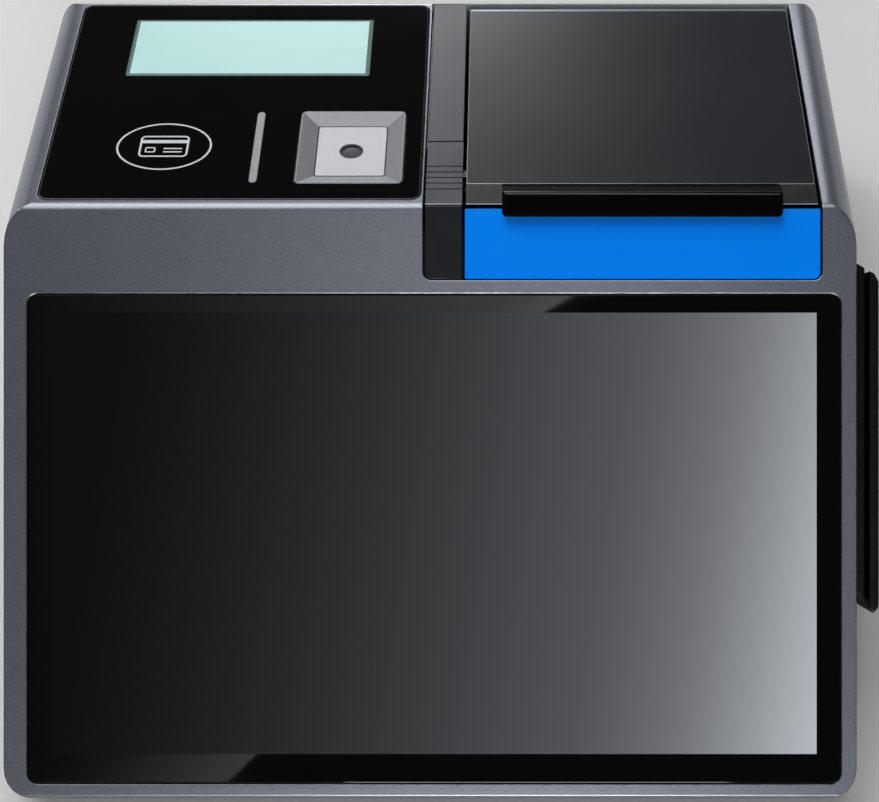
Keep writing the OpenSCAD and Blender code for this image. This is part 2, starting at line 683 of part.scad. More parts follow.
module hinge_lug() {
  foot = [bay_at[0] + bay_r + 1, bay_rim - 1];
  side = 1.6;
  lug_r = 2.6;
  translate([hinge_l, hinge_z]) circle(lug_r);
  polygon([foot + [-1, -2], foot + [1, -2], foot + [1, 1], [hinge_l - 0.4, hinge_z - lug_r + 0.1],
    [hinge_l - side, hinge_z], foot + [-1, 1]]);
}
module hinge_pins() color("#b8bcc2") on_deck() {
  rod(hinge_pin_r, bay_l + 1.5, bay_l + 10.5, [hinge_l, hinge_z]);
  rod(hinge_pin_r, bay_end - 10.5, bay_end - 1.5, [hinge_l, hinge_z]);
}

// Print mechanism
module mechanism_frame() color("#9a9ea4") difference() {
  union() {
    on_deck() across(plate_l, plate_l + plate_t) side_plate();
    on_deck() across(plate_end, plate_end + plate_t) side_plate();
    on_face() box(plate_l, plate_end + plate_t, -14.75, -13.25, -21, -8);
    on_deck() for (x = [bay_l + 0.3 - plate_t, bay_end - 0.3]) across(x, x + plate_t) head_ear();
  }
  on_deck() {
    for (x = [plate_l, plate_end]) across(x - 1, x + plate_t + 1) shaft_way();
    rod(axle_r + fit, plate_l - 1, plate_l + plate_t + 1, idler_at);
    rod(pinion_shaft_r + 1, plate_l - 1, plate_l + plate_t + 1, pinion_at);
    rod(pin_r + fit, plate_l - 1, plate_l + plate_t + 1, latch_at);
    rod(pin_r + fit, bay_l - 5, bay_end + 5, face_pt(head_turn[0], head_turn[1]));
    for (p = bolts_at) rod(bolt_r + 0.3, plate_l - 1, plate_end + plate_t + 1, p);
  }
}
module side_plate() polygon([[3.5, -6.5], [38, -6.5], [38, -40], [22, -48], [-4, -48], [-8, -24]]);
module shaft_way() {
  translate(platen_at) circle(shaft_r + pass);
  translate(platen_at - [shaft_r + pass, 0]) square([2 * (shaft_r + pass), 20]);
}
module head_ear() polygon([face_pt(-14.8, -12), face_pt(-13.2, -12), face_pt(-7, -20),
  face_pt(-1.2, -25.5), face_pt(-1.2, -29.5), face_pt(-5.5, -29.5), face_pt(-14.8, -19)]);
module frame_screws() color("#b8bcc2") on_deck() for (p = bolts_at) {
  rod(bolt_head_r, plate_l - 1.6, plate_l, p);
  rod(bolt_r, plate_l - 0.5, plate_l + plate_t + bolt_grip, p);
  rod(bolt_head_r, plate_end + plate_t, plate_end + plate_t + 1.6, p);
  rod(bolt_r, plate_end - bolt_grip, plate_end + plate_t + 0.5, p);
}
module feed_motor() color("#84888e") on_deck() difference() {
  union() {
    rod(motor_r, plate_l + plate_t, plate_l + plate_t + motor_len, pinion_at);
    rod(2.5, plate_l + plate_t + motor_len - 1, plate_l + plate_t + motor_len + 1.5, pinion_at);
  }
  rod(pinion_shaft_r + fit, plate_l, plate_l + plate_t + motor_len - 4, pinion_at);
}
module motor_pinion() color("#c9a24a") on_deck() {
  translate([0, pinion_at[0], pinion_at[1]]) across(gear_x, gear_x + gear_w)
    gear(pinion_teeth, pinion_phase);
  rod(pinion_shaft_r, gear_x + 0.5, plate_l + plate_t + motor_len - 4.5, pinion_at);
}
module idler_gear() color("#e6e2d6") on_deck() {
  translate([0, idler_at[0], idler_at[1]]) across(gear_x, gear_x + gear_w)
    gear(idler_teeth, idler_phase);
  rod(axle_r + 2, gear_x + 1, plate_l - 0.3, idler_at);
  rod(axle_r, gear_x + 1, plate_l + plate_t, idler_at);
}

// Lid
module lid_cover() color("#3c3f44") on_deck() {
  box(lid_x, lid_end, lid_front, hinge_l, -cover_t, 0);
  across(lid_x, lid_end) difference() {
    translate([hinge_l, hinge_z]) circle(hinge_round);
    translate([hinge_l, hinge_z]) circle(hinge_round - cover_t);
    translate([hinge_l - 20, hinge_z - 20]) square([20, 40]);
    translate([hinge_l - 20, hinge_z - 20]) square([40, 20]);
  }
}
module lid_frame() color("#2e3136") on_deck() difference() {
  union() {
    box(lid_x + 2, lid_end - 2, lid_front - 1, hinge_l - 4, under_z, -cover_t);
    across(lid_x, lid_end) polygon([[0.6, 0], [lid_front - 0.15, 0], [lid_front - 0.15, under_z],
      lip_pt(under_z), lip_pt(-0.35)]);
    for (x = ear_xs) across(x, x + ear_w) platen_ear();
    for (x = [bay_l + 2, bay_end - 6]) across(x, x + 4) knuckle();
    for (x = [lid_x + 8, lid_mid - 1, lid_end - 10]) box(x, x + 2, 34, 98, under_z - 3, under_z + 0.5);
    for (l = [34, 66, 96]) box(lid_x + 8, lid_end - 8, l, l + 2, under_z - 3, under_z + 0.5);
  }
  for (x = ear_xs) rod(bush_r + fit, x - 1, x + ear_w + 1, platen_at);
  rod(hinge_pin_r + fit, bay_l, bay_end, [hinge_l, hinge_z]);
}
function lip_pt(z) = [(0.2 - z * sin(fold)) / cos(fold), z];
module platen_ear() {
  translate(platen_at) circle(bush_r + 1.3);
  translate([platen_at[0] - 4, platen_at[1]]) square([9, under_z - platen_at[1] + 0.5]);
}
module knuckle() {
  translate([hinge_l, hinge_z]) circle(knuckle_r);
  translate([hinge_l - 8, under_z - 2.5]) square([8, 2.5 + frame_t]);
}
module tear_bar() color("#0c0c0e") on_deck() across(lid_mid - tear_w / 2, lid_mid + tear_w / 2)
  polygon(rounded([[lid_front - 0.15, 0], [lid_front - 0.15, 1.2], face_pt(tear_rise, tear_reach),
    face_pt(-4, tear_reach), face_pt(-4, 0.8), face_pt(0.3, 0.8), [1.6, 0]],
    [0, 0.5, 2, 0.8, 0.5, 0, 0]));
module platen_bushes() color("#d8d4c4") on_deck() difference() {
  for (x = ear_xs) rod(bush_r, x, x + ear_w, platen_at);
  rod(shaft_r + fit, lid_x, lid_end, platen_at);
}
module platen_shaft() color("#c4c7cb") on_deck()
  rod(shaft_r, lid_x + 0.45, plate_end + plate_t + 1.5, platen_at);
module platen_roller() color("#1c1c1e") on_deck() difference() {
  rod(platen_r, lid_mid - roll_half, lid_mid + roll_half, platen_at);
  rod(shaft_r + press_fit, lid_x, lid_end, platen_at);
}
module platen_gear() color("#e6e2d6") on_deck() difference() {
  translate([0, platen_at[0], platen_at[1]]) across(gear_x, gear_x + gear_w) gear(platen_teeth, -90);
  rod(shaft_r + press_fit, lid_x, lid_end, platen_at);
}

// Print head
module print_head() color("#b4b8bd") difference() {
  on_face() {
    box(lid_mid - roll_half, lid_mid + roll_half, head_top - 5, head_top - 1, -25.5, -6);
    for (x = [lid_mid - roll_half, lid_mid + roll_half - 5]) {
      rod(2.8, x, x + 5, head_turn);
      box(x, x + 5, head_top - 5, head_top - 1, head_turn[1], -25);
    }
    for (i = [0:9]) box(lid_mid - 16 + 3.5 * i, lid_mid - 14.6 + 3.5 * i, head_top - 8, head_top - 4.5,
      -21, -8);
  }
  on_face() rod(pin_r + fit, lid_x, lid_end, head_turn);
}
module head_strip() color("#e4e0d4") on_face()
  box(lid_mid - roll_half, lid_mid + roll_half, head_top - 1, head_top, -24, -8);
module head_shaft() color("#c4c7cb") on_face() rod(pin_r, bay_l - 1.5, bay_end + 1.5, head_turn);
module head_springs() color("#b8bcc2") on_face() for (dx = [-0.6 * roll_half, 0.6 * roll_half])
  translate([lid_mid + dx, -13.25, -14.5]) rotate([-90, 0, 0])
    coil(2, 0.3, 5, head_top - 5 + 13.25);

// Lid release
module release_button() color("#33363b") on_deck() difference() {
  union() {
    box(strip_x, strip_x + strip_w, 0.5, button_len + 0.5, -strip_t, 0);
    post(guide_r, guide_at, guide_top - 8, -strip_t + 0.5);
    box(strip_x + 7, strip_x + 10.5, latch_at[0] + 6.5, latch_at[0] + 8, latch_at[1] + 3.6, -strip_t + 0.5);
  }
  for (i = [0:4]) box(strip_x - 1, strip_x + strip_w + 1, 8 + 3 * i, 8.9 + 3 * i, -0.6, 1);
  across(strip_x - 1, strip_x + strip_w + 1) polygon([[-1, -9], [1.8, -9], [0.5, -1], [-1, -1]]);
}
module release_spring() color("#b8bcc2") on_deck() translate([guide_at[0], guide_at[1], guide_top])
  coil(guide_r + 0.9, 0.3, 4, -strip_t - guide_top);
module latch_hook() color("#c4c7cb") on_deck() difference() {
  union() {
    across(hook_x, hook_x + hook_w) hook_side();
    across(strip_x + 6.5, hook_x + hook_w) translate(latch_at) polygon([[5.2, 0.8], [8.4, 0.8], [8.4, 3.4],
      [5.2, 3.4]]);
  }
  rod(pin_r + fit, lid_x - 1, plate_l, latch_at);
}
module hook_side() {
  nose = platen_at[0] + shaft_r + pass + 0.1;
  translate(latch_at) circle(3);
  polygon([latch_at + [2.4, -1.8], latch_at + [8.4, 0.8], latch_at + [8.4, 3.4], latch_at + [1.5, 2.6],
    [nose + 3, latch_at[1] + 8.5], [nose, latch_at[1] + 8.5], [nose, latch_at[1] + 4.5],
    latch_at + [-2.4, -1.8]]);
}
module latch_pin() color("#b8bcc2") on_deck() {
  rod(pin_r, lid_x - 0.4, plate_l + plate_t, latch_at);
  rod(2.4, lid_x - 1.2, lid_x - 0.3, latch_at);
}

// Electronics
module main_board() color("#1f5a3c") in_body() difference() {
  union() {
    translate([board_x, board_y]) slab(board_size[0], board_size[1], 3, board_z, board_top);
    chip([-22, -22], [16, 16], chip_h);
    chip([board_half - 38, -34], [30, 6], 5);
    chip([7 - board_half, -20], [12, 24], 6);
    for (i = [0:3]) chip([6 + 9 * i, -10], [6, 12], 1.2);
  }
  for (p = board_holes) post(clear_r, p, 0, 50);
}
// A block on the main board, placed from the board's middle
module chip(at, size, h) translate([board_x + at[0], board_y + at[1], board_top - 0.5])
  cube([size[0], size[1], h + 0.5]);
module board_screws() color("#b8bcc2") in_body() for (p = board_holes) {
  post(head_r, p, board_top, board_top + 2);
  post(screw_r, p, floor_z + 1, board_top + 0.5);
}
module heat_sink() color("#9aa0a6") in_body() {
  base = board_top + chip_h;
  sink_x = board_x - 32;
  fin_pitch = (sink_w - 2) / 8;
  box(sink_x, sink_x + sink_w, board_y - 32, board_y + 4, base, base + 3);
  for (i = [0:8]) box(sink_x + fin_pitch * i, sink_x + fin_pitch * i + 2, board_y - 32, board_y + 4,
    base + 2.5, base + 14);
}
module socket(x, w, h, depth, hole_w, hole_h, lift) difference() {
  box(x - w / 2, x + w / 2, port_face - depth, port_face, board_top, board_top + h);
  box(x - hole_w / 2, x + hole_w / 2, port_face - depth + 3, port_face + 1, board_top + lift,
    board_top + lift + hole_h);
}
module dc_jack() color("#141415") in_body() {
  difference() {
    box(dc_x - 4.5, dc_x + 4.5, port_face - 14, port_face, board_top, board_top + 11);
    translate([dc_x, port_face + 1, board_top + 6]) rotate([90, 0, 0]) cylinder(h = 11, r = 3.2);
  }
  translate([dc_x, port_face - 1, board_top + 6]) rotate([90, 0, 0]) cylinder(h = 10, r = 1);
}
module lan_port() color("#a7abb0") in_body() socket(lan_x, 16, 13.5, 21, 11.8, 8.2, 2.5);
module usb_ports() color("#a7abb0") in_body() for (x = usb_xs) {
  socket(x, 14.5, 7.2, 18, 12.7, 5.4, 0.9);
  box(x - 5.6, x + 5.6, port_face - 16, port_face - 2, board_top + 4, board_top + 5.6);
}
module drawer_port() color("#1b1c1e") in_body() socket(drawer_x, 13.5, 13, 18, 9.8, 6.8, 2.5);
module port_panel() color("#232529") in_body() difference() {
  union() {
    box(port_x[0] + seam, port_x[1] - seam, rear_y - wall, rear_y, split_z, port_top - seam);
    box(port_x[0] - 2, port_x[1] + 2, rear_y - wall - 1.5, rear_y - wall, split_z + 4, port_top + 3);
  }
  port_way(dc_x, 9, 11);
  port_way(lan_x, 16, 13.5);
  for (x = usb_xs) port_way(x, 14.5, 7.2);
  port_way(drawer_x, 13.5, 13);
}
module port_way(x, w, h) box(x - w / 2 - seam, x + w / 2 + seam, rear_y - 20, rear_y + 1,
  board_top - seam, board_top + h + seam);
module speaker() color("#18191b") in_body() translate([speaker_at[0], speaker_at[1], 0]) {
  post(speaker_r, [0, 0], floor_z, floor_z + 3);
  post(speaker_r * 0.7, [0, 0], floor_z + 2.5, floor_z + 8);
}

// Power button
module power_button() color("#c9cbce") in_body() {
  rod(power_r, -half_w - 0.6, -half_w + wall + 0.6, power_at);
  rod(power_flange, -half_w + wall + 0.1, -half_w + wall + 1.2, power_at);
  rod(1.5, -half_w + wall + 1, -half_w + power_stub, power_at);
}
module power_switch() color("#1f5a3c") in_body() {
  reach = power_post_at + power_post_r + 1;
  box(-half_w + power_board, -half_w + power_board + 1.2, power_at[0] - reach, power_at[0] + reach,
    power_at[1] - 6, power_at[1] + 6);
  box(-half_w + power_stub + power_travel + 0.2, -half_w + power_board + 0.5, power_at[0] - 3,
    power_at[0] + 3, power_at[1] - 3, power_at[1] + 3);
}

// Card reader
module reader_block() translate([0, 0, reader_low]) linear_extrude(reader_w - reader_low)
  polygon(reader_plan);
module reader_housing() color("#141416") on_face() difference() {
  intersection() {
    reader_block();
    union() {
      box(half_w, half_w + reader_in, -far, far, reader_low, reader_w);
      box(half_w, half_w + reader_in + slot_w, -far, far, reader_low, reader_w - slot_depth);
    }
  }
  box(half_w + 1, half_w + reader_in + 1, reader_mid - 6, reader_mid + 6, -25, -15);
  for (v = reader_heads) rod(1.25, half_w - 1, half_w + 3.2, [v, -22]);
}
module reader_rail() color("#1d1e21") on_face() intersection() {
  reader_block();
  box(half_w + reader_in + slot_w, half_w + far, -far, far, reader_low, reader_w);
}
module magnetic_head() color("#b4b8bd") on_face() {
  box(half_w + 2, half_w + reader_in, reader_mid - 5.6, reader_mid + 5.6, -24.6, -15.4);
  translate([half_w + reader_in - 0.1, reader_mid, -20]) rotate([0, 90, 0]) cylinder(h = 0.5, r = 3);
}
module reader_screws() color("#b8bcc2") on_face() for (v = reader_heads) {
  rod(head_r, half_w - wall - 2, half_w - wall, [v, -22]);
  rod(1.2, half_w - wall - 0.5, half_w + 3, [v, -22]);
}

upper_shell();
base_tray();
rubber_feet();
case_screws();
touch_glass();
screen_gasket();
lcd_panel();
lcd_bracket();
bracket_screws();
customer_panel();
customer_display();
display_board();
contactless_antenna();
status_light();
light_board();
scanner_bezel();
scanner_plate();
scanner_engine();
scanner_lens();
front_carrier();
front_cover();
strip_front();
side_strip();
paper_bucket();
hinge_pins();
mechanism_frame();
frame_screws();
feed_motor();
motor_pinion();
idler_gear();
lid_cover();
lid_frame();
tear_bar();
platen_bushes();
platen_shaft();
platen_roller();
platen_gear();
print_head();
head_strip();
head_shaft();
head_springs();
release_button();
release_spring();
latch_hook();
latch_pin();
main_board();
board_screws();
heat_sink();
dc_jack();
lan_port();
usb_ports();
drawer_port();
port_panel();
speaker();
power_button();
power_switch();
reader_housing();
reader_rail();
magnetic_head();
reader_screws();
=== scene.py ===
"""Looks of a countertop point of sale terminal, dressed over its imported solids."""

import functools
import json
import math

import bpy
from mathutils import Matrix, Vector

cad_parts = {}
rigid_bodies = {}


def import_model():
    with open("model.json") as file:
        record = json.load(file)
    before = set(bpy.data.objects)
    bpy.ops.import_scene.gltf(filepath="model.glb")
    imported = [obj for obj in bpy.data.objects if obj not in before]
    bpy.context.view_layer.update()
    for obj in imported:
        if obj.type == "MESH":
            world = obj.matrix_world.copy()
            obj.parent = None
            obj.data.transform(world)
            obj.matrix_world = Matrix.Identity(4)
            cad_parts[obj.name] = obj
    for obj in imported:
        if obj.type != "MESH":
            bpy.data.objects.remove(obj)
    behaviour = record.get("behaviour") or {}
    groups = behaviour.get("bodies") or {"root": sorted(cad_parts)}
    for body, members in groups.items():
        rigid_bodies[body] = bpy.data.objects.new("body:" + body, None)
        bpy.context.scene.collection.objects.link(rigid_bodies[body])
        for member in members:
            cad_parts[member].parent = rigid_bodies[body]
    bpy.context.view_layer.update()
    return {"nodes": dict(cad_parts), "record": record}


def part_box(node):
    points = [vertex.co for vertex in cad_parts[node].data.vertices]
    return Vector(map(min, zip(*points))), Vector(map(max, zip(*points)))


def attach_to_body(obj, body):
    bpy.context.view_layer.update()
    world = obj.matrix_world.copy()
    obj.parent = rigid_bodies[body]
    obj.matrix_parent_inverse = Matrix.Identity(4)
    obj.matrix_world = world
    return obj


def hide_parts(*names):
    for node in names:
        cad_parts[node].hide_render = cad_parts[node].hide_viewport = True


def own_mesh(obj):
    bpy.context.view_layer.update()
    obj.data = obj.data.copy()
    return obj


bl_info = {
    "name": "Point of sale terminal",
    "version": (1, 0, 0),
    "blender": (4, 5, 0),
    "location": "3D View > Sidebar > Terminal",
    "description": "Dresses the solids of a countertop point of sale terminal",
    "category": "Object",
}

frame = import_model()
RECORD = frame["record"]
BODY_OF = {node: body for body, members in RECORD["behaviour"]["bodies"].items() for node in members}
MM = 0.001
SHARP = math.radians(32.0)  # edges that turn by more are rounded
IMAGE_WIDTH, FOCAL, AXIS = 879, 1981, 510  # width, focal length and optical axis in the photo's pixels
SENSOR = 36.0  # the camera's sensor width, in millimetres
LAMPS = (  # name, place, aim and size in metres, watts
    ("front_softbox", (0.05, -1.4, 0.68), (0.0, -0.05, 0.06), (0.4, 0.4), 8.5),
    ("overhead_softbox", (-0.25, 0.6, 1.35), (0.0, 0.05, 0.1), (1.2, 1.1), 15.0),
    ("left_softbox", (-1.1, 0.8, 0.9), (0.0, 0.05, 0.1), (0.4, 0.4), 4.0),
    ("rear_softbox", (-0.16, 1.5, 0.36), (0.0, 0.05, 0.1), (0.4, 0.3), 4.0),
    ("rear_right_softbox", (0.36, 1.3, 0.66), (0.1, 0.05, 0.1), (0.3, 0.3), 1.2),
)


def linear(code):
    """An sRGB hex colour as linear red, green and blue."""
    parts = [int(code[i : i + 2], 16) / 255 for i in (1, 3, 5)]
    return tuple(p / 12.92 if p <= 0.04045 else ((p + 0.055) / 1.055) ** 2.4 for p in parts)


def tint(name, words, code):
    """A colour property with its default given as an sRGB hex value."""
    return bpy.props.FloatVectorProperty(
        name=name, description=words, subtype="COLOR", size=3, min=0.0, max=1.0, default=linear(code))


def length(name, words, millimetres):
    """A length property with its default given in millimetres."""
    return bpy.props.FloatProperty(name=name, description=words, unit="LENGTH", default=millimetres * MM)


def slant(name, words, degrees):
    """An angle property with its default given in degrees."""
    turn = math.radians(degrees)
    return bpy.props.FloatProperty(name=name, description=words, subtype="ANGLE", default=turn)


class TerminalSizes(bpy.types.PropertyGroup):
    """Sizes that the dressing pieces are made to."""

    face_slope: slant("Face slope", "Slope of the screen face from the table", 30)
    deck_fall: slant("Deck fall", "Fall of the top deck towards the rear", 14)
    ridge: bpy.props.FloatVectorProperty(
        name="Ridge", description="Middle of the ridge between the face and the deck", size=3,
        subtype="TRANSLATION", unit="LENGTH", default=(-0.0045, 0.028648, 0.1195))
    shell_edge: length("Shell edge", "Rounding of the housing's cut edges", 0.3)
    glass_edge: length("Glass edge", "Ground edge of the touch glass", 0.5)
    # The chamfer carries a painted highlight.
    lid_edge: length("Lid edge", "Bright chamfer of the printer lid", 0.35)
    picture_left: length("Border left", "Black border left of the picture", 8.55)
    picture_right: length("Border right", "Black border right of the picture", 8.05)
    picture_top: length("Border top", "Black border above the picture", 6.1)
    picture_low: length("Border bottom", "Black border below the picture", 9.8)
    mark_stroke: length("Mark stroke", "Line width of the tap mark", 0.7)
    camera_reach: length("Camera reach", "Camera's distance from the screen face", 663.9)
    camera_side: length("Camera side", "Camera's place right of the body's middle", 26.8)
    camera_drop: length("Camera drop", "Camera's place down the face from the ridge", 65.6)


class TerminalColours(bpy.types.PropertyGroup):
    """Colours of the finishes."""

    shell: tint("Shell", "Metallic paint of the housing", "#7a7e88")
    # Colour of the painted highlight on the housing's rounded edges.
    shell_painted_highlight: tint("Shell rim", "Paint rubbed bright along the edges", "#747880")
    border: tint("Glass border", "Black print under the touch glass", "#040405")
    panel: tint("Customer panel", "Black acrylic of the customer panel", "#050506")
    mint: tint("Customer display", "Lit window of the customer display", "#acd7d4")
    silver: tint("Scanner bezel", "Silver paint of the scanner bezel", "#808287")
    plate: tint("Scanner plate", "Satin plate around the lens", "#babbbf")
    blue: tint("Printer front", "Blue cover under the tear bar", "#0086ff")
    lid: tint("Lid", "Dark grey of the printer lid", "#13161c")
    strip: tint("Release strip", "Grey of the release button and strip", "#292d35")
    strip_face: tint("Front strip", "Dark grey of the strip beside the blue cover", "#191b1f")
    tear: tint("Tear bar", "Black of the tear bar", "#050506")
    base: tint("Base", "Dark grey of the base tray", "#26282d")
    reader: tint("Card reader", "Black of the card reader", "#060607")


def sizes():
    return bpy.context.scene.terminal_sizes


def colours():
    return bpy.context.scene.terminal_colours


def face_frame():
    """Across the face, up the face and out of it, from the middle of the ridge."""
    return Matrix.Translation(sizes().ridge) @ Matrix.Rotation(sizes().face_slope, 4, "X")


def deck_frame():
    """Across the deck, back along it and out of it, from the middle of the ridge."""
    return Matrix.Translation(sizes().ridge) @ Matrix.Rotation(-sizes().deck_fall, 4, "X")


# Modelling


def fresh():
    """Object mode with nothing selected."""
    if bpy.context.object and bpy.context.object.mode != "OBJECT":
        bpy.ops.object.mode_set(mode="OBJECT")
    bpy.ops.object.select_all(action="DESELECT")


def hold(piece):
    """Makes one piece the only selected and active object."""
    fresh()
    piece.select_set(True)
    bpy.context.view_layer.objects.active = piece


def named(name):
    """The object that was just added, with its name."""
    bpy.context.object.name = name
    return bpy.context.object


def edit(piece):
    """Edit mode on one piece, all of it selected."""
    hold(piece)
    bpy.ops.object.mode_set(mode="EDIT")
    bpy.ops.mesh.select_all(action="SELECT")


def pick(piece, kind, test):
    """Edit mode on one piece, with faces (by middle and normal) or edges (by ends) that pass a test."""
    edit(piece)
    bpy.ops.mesh.select_mode(type=kind)
    bpy.ops.mesh.select_all(action="DESELECT")
    bpy.ops.object.mode_set(mode="OBJECT")
    mesh = piece.data
    if kind == "FACE":
        for face in mesh.polygons:
            face.select = test(face.center, face.normal)
    else:
        for edge in mesh.edges:
            edge.select = test(*(mesh.vertices[i].co for i in edge.vertices))
    bpy.ops.object.mode_set(mode="EDIT")


def shaped(piece, kind, **settings):
    """One modifier, set and applied."""
    hold(piece)
    modifier = piece.modifiers.new(kind.title(), kind)
    for name, value in settings.items():
        setattr(modifier, name, value)
    bpy.ops.object.modifier_apply(modifier=modifier.name)


def smooth(piece, angle=20.0):
    """Soft shading over rounds, with flat faces kept flat."""
    hold(piece)
    bpy.ops.object.shade_smooth_by_angle(angle=math.radians(angle))
    shaped(piece, "WEIGHTED_NORMAL", keep_sharp=True, weight=80)


def bevelled(piece, edge, steps, test):
    """Rounds the edges whose ends pass a test, by a width in millimetres."""
    pick(piece, "EDGE", test)
    bpy.ops.mesh.bevel(offset=edge * MM, segments=steps, affect="EDGES")
    fresh()


def chamfer(piece, width, steps, angle):
    """Rounds the edges that turn by more than an angle in degrees, by a width in metres."""
    limit = math.radians(angle)
    shaped(piece, "BEVEL", width=width, segments=steps, limit_method="ANGLE", angle_limit=limit)


def extent(points):
    """Least and greatest corner of some points."""
    points = list(points)
    return tuple(Vector([end(p[i] for p in points) for i in range(3)]) for end in (min, max))


def insets(*steps):
    """Insets the picked faces in edit mode, each step by a width and a rise in millimetres."""
    for width, rise in steps:
        bpy.ops.mesh.inset(thickness=width * MM, depth=rise * MM)


def carve(piece, tool, operation="DIFFERENCE"):
    """Takes a tool from a piece, or adds or crosses it, and drops the tool."""
    shaped(piece, "BOOLEAN", operation=operation, object=tool, solver="EXACT")
    bpy.data.objects.remove(tool)


def block(name, size, middle, edge=0.0):
    """A box in millimetres, its edges cut off where an edge width is given."""
    fresh()
    bpy.ops.mesh.primitive_cube_add(size=1.0)
    piece = named(name)
    piece.scale = [s * MM for s in size]
    piece.location = [m * MM for m in middle]
    bpy.ops.object.transform_apply(location=True, rotation=False, scale=True)
    if edge:
        edit(piece)
        bpy.ops.mesh.bevel(offset=edge * MM, segments=1, affect="EDGES")
        fresh()
    return piece


def drum(name, radius, height, rise, sides):
    """An upright cylinder in millimetres, its foot at a rise over the origin."""
    fresh()
    middle = (0.0, 0.0, (rise + height / 2) * MM)
    bpy.ops.mesh.primitive_cylinder_add(
        vertices=sides, radius=radius * MM, depth=height * MM, location=middle)
    piece = named(name)
    bpy.ops.object.transform_apply(location=True, rotation=False, scale=False)
    return piece


def joined(name, pieces):
    """Several meshes as one."""
    fresh()
    for piece in pieces:
        piece.select_set(True)
    bpy.context.view_layer.objects.active = pieces[0]
    bpy.ops.object.join()
    pieces[0].name = name
    return pieces[0]


def twin(piece, shift):
    """A copy of a piece with its own mesh, moved."""
    copy = bpy.data.objects.new(piece.name, piece.data.copy())
    bpy.context.scene.collection.objects.link(copy)
    copy.data.transform(Matrix.Translation(shift))
    return copy


def attach(piece, finish, body, place=None, node=None):
    """Puts a finished mesh in its place on a body and in a finish, and hides the solid it stands for, if
    named.
    """
    if place is not None:
        piece.data.transform(place)
    if finish is not None:
        piece.data.materials.clear()
        piece.data.materials.append(finish)
    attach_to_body(piece, body)
    if node:
        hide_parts(node)
    return piece


def stand_in(piece, finish, node, place=None):
    """Puts a finished mesh in the place of a solid, on its body."""
    return attach(piece, finish, BODY_OF[node], place, node)


def copied(node):
    """A merged copy of a solid's mesh, its flat faces joined up."""
    piece = bpy.data.objects.new(node + "_finish", frame["nodes"][node].data.copy())
    bpy.context.scene.collection.objects.link(piece)
    piece.data.materials.clear()
    edit(piece)
    bpy.ops.mesh.customdata_custom_splitnormals_clear()
    bpy.ops.mesh.remove_doubles(threshold=0.002 * MM)
    bpy.ops.mesh.dissolve_limited(angle_limit=math.radians(0.3))
    fresh()
    return piece


def round_edges(piece, edge, steps=2, rim=False, spare=None):
    """Rounds the sharp edges of a closed mesh; where it has a rim, its second finish paints a highlight
    on them.

    Edges that pass the spare test stay sharp.
    """
    edit(piece)
    bpy.ops.mesh.quads_convert_to_tris(ngon_method="BEAUTY")
    bpy.ops.mesh.select_mode(type="EDGE")
    bpy.ops.mesh.select_all(action="DESELECT")
    bpy.ops.mesh.edges_select_sharp(sharpness=SHARP)
    if spare:
        bpy.ops.object.mode_set(mode="OBJECT")
        points = piece.data.vertices
        for line in piece.data.edges:
            if line.select and spare(*(points[i].co for i in line.vertices)):
                line.select = False
        bpy.ops.object.mode_set(mode="EDIT")
    bpy.ops.mesh.bevel(
        offset=edge * MM, segments=steps, affect="EDGES", clamp_overlap=False, loop_slide=False,
        material=1 if rim else -1)
    fresh()
    smooth(piece)


def dress(node, finish, edge=0.2, steps=2, rim=None, spare=None):
    """A solid with its sharp edges rounded, standing for it."""
    piece = copied(node)
    piece.data.materials.append(finish)
    if rim:
        piece.data.materials.append(rim)
    round_edges(piece, edge, steps, rim=bool(rim), spare=spare)
    return stand_in(piece, None, node)


def across(node):
    """A solid's width, and its middle from the deck's own, in millimetres."""
    low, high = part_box(node)
    return (high.x - low.x) / MM, ((low.x + high.x) / 2 - sizes().ridge.x) / MM


def recoat(piece, finish, test):
    """Adds a finish on the faces whose middle and normal, in the deck's frame, pass a test."""
    piece.data.materials.append(finish)
    to_deck = deck_frame().inverted()
    for face in piece.data.polygons:
        if test(to_deck @ face.center, to_deck.to_3x3() @ face.normal):
            face.material_index = len(piece.data.materials) - 1


def glint(piece):
    """Paints a highlight on the rounded edge between deck and face, where the lamp above would catch it.
    """
    recoat(piece, lid_painted_highlight(), lambda at, out: abs(at.y) < 1.2 * MM and at.z > -0.6 * MM
           and out.z > 0.3 and -0.95 < out.y < -0.05)


def spring(node):
    """A coil spring, copied from its solid and softly shaded, in bright steel."""
    piece = copied(node)
    smooth(piece, 60.0)
    stand_in(piece, bright_steel(), node)
    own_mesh(piece)


def mirror(card, piece):
    """Lets one piece alone show the light of a card."""
    group = bpy.data.collections.new(card + "_mirror")
    group.objects.link(piece)
    bpy.data.objects[card].light_linking.receiver_collection = group


def paint(finish, *nodes):
    """Gives carried-over solids a finish."""
    for node in nodes:
        solid = frame["nodes"][node]
        solid.data.materials.clear()
        solid.data.materials.append(finish)


# Finishes


def add(tree, kind, sockets, **settings):
    """Outputs of a new shader node with its settings, socket values and incoming links."""
    node = tree.nodes.new("ShaderNode" + kind)
    for name, value in settings.items():
        setattr(node, name, value)
    for name, value in sockets.items():
        if isinstance(value, bpy.types.NodeSocket):
            tree.links.new(value, node.inputs[name])
        else:
            node.inputs[name].default_value = value
    return node.outputs


def bare(holder):
    """The node tree of a material or a world, emptied."""
    holder.use_nodes = True
    holder.node_tree.nodes.clear()
    return holder.node_tree


def begin(name, colour, **sockets):
    """A material with one principled shader, and the piece's own coordinates in metres."""
    material = bpy.data.materials.new(name)
    tree = bare(material)
    values = {key.replace("_", " "): value for key, value in sockets.items()}
    light = add(tree, "BsdfPrincipled", {"Base Color": (*colour, 1.0), **values})["BSDF"]
    add(tree, "OutputMaterial", {"Surface": light})
    return material, tree, light.node, add(tree, "TexCoord", {})["Object"]


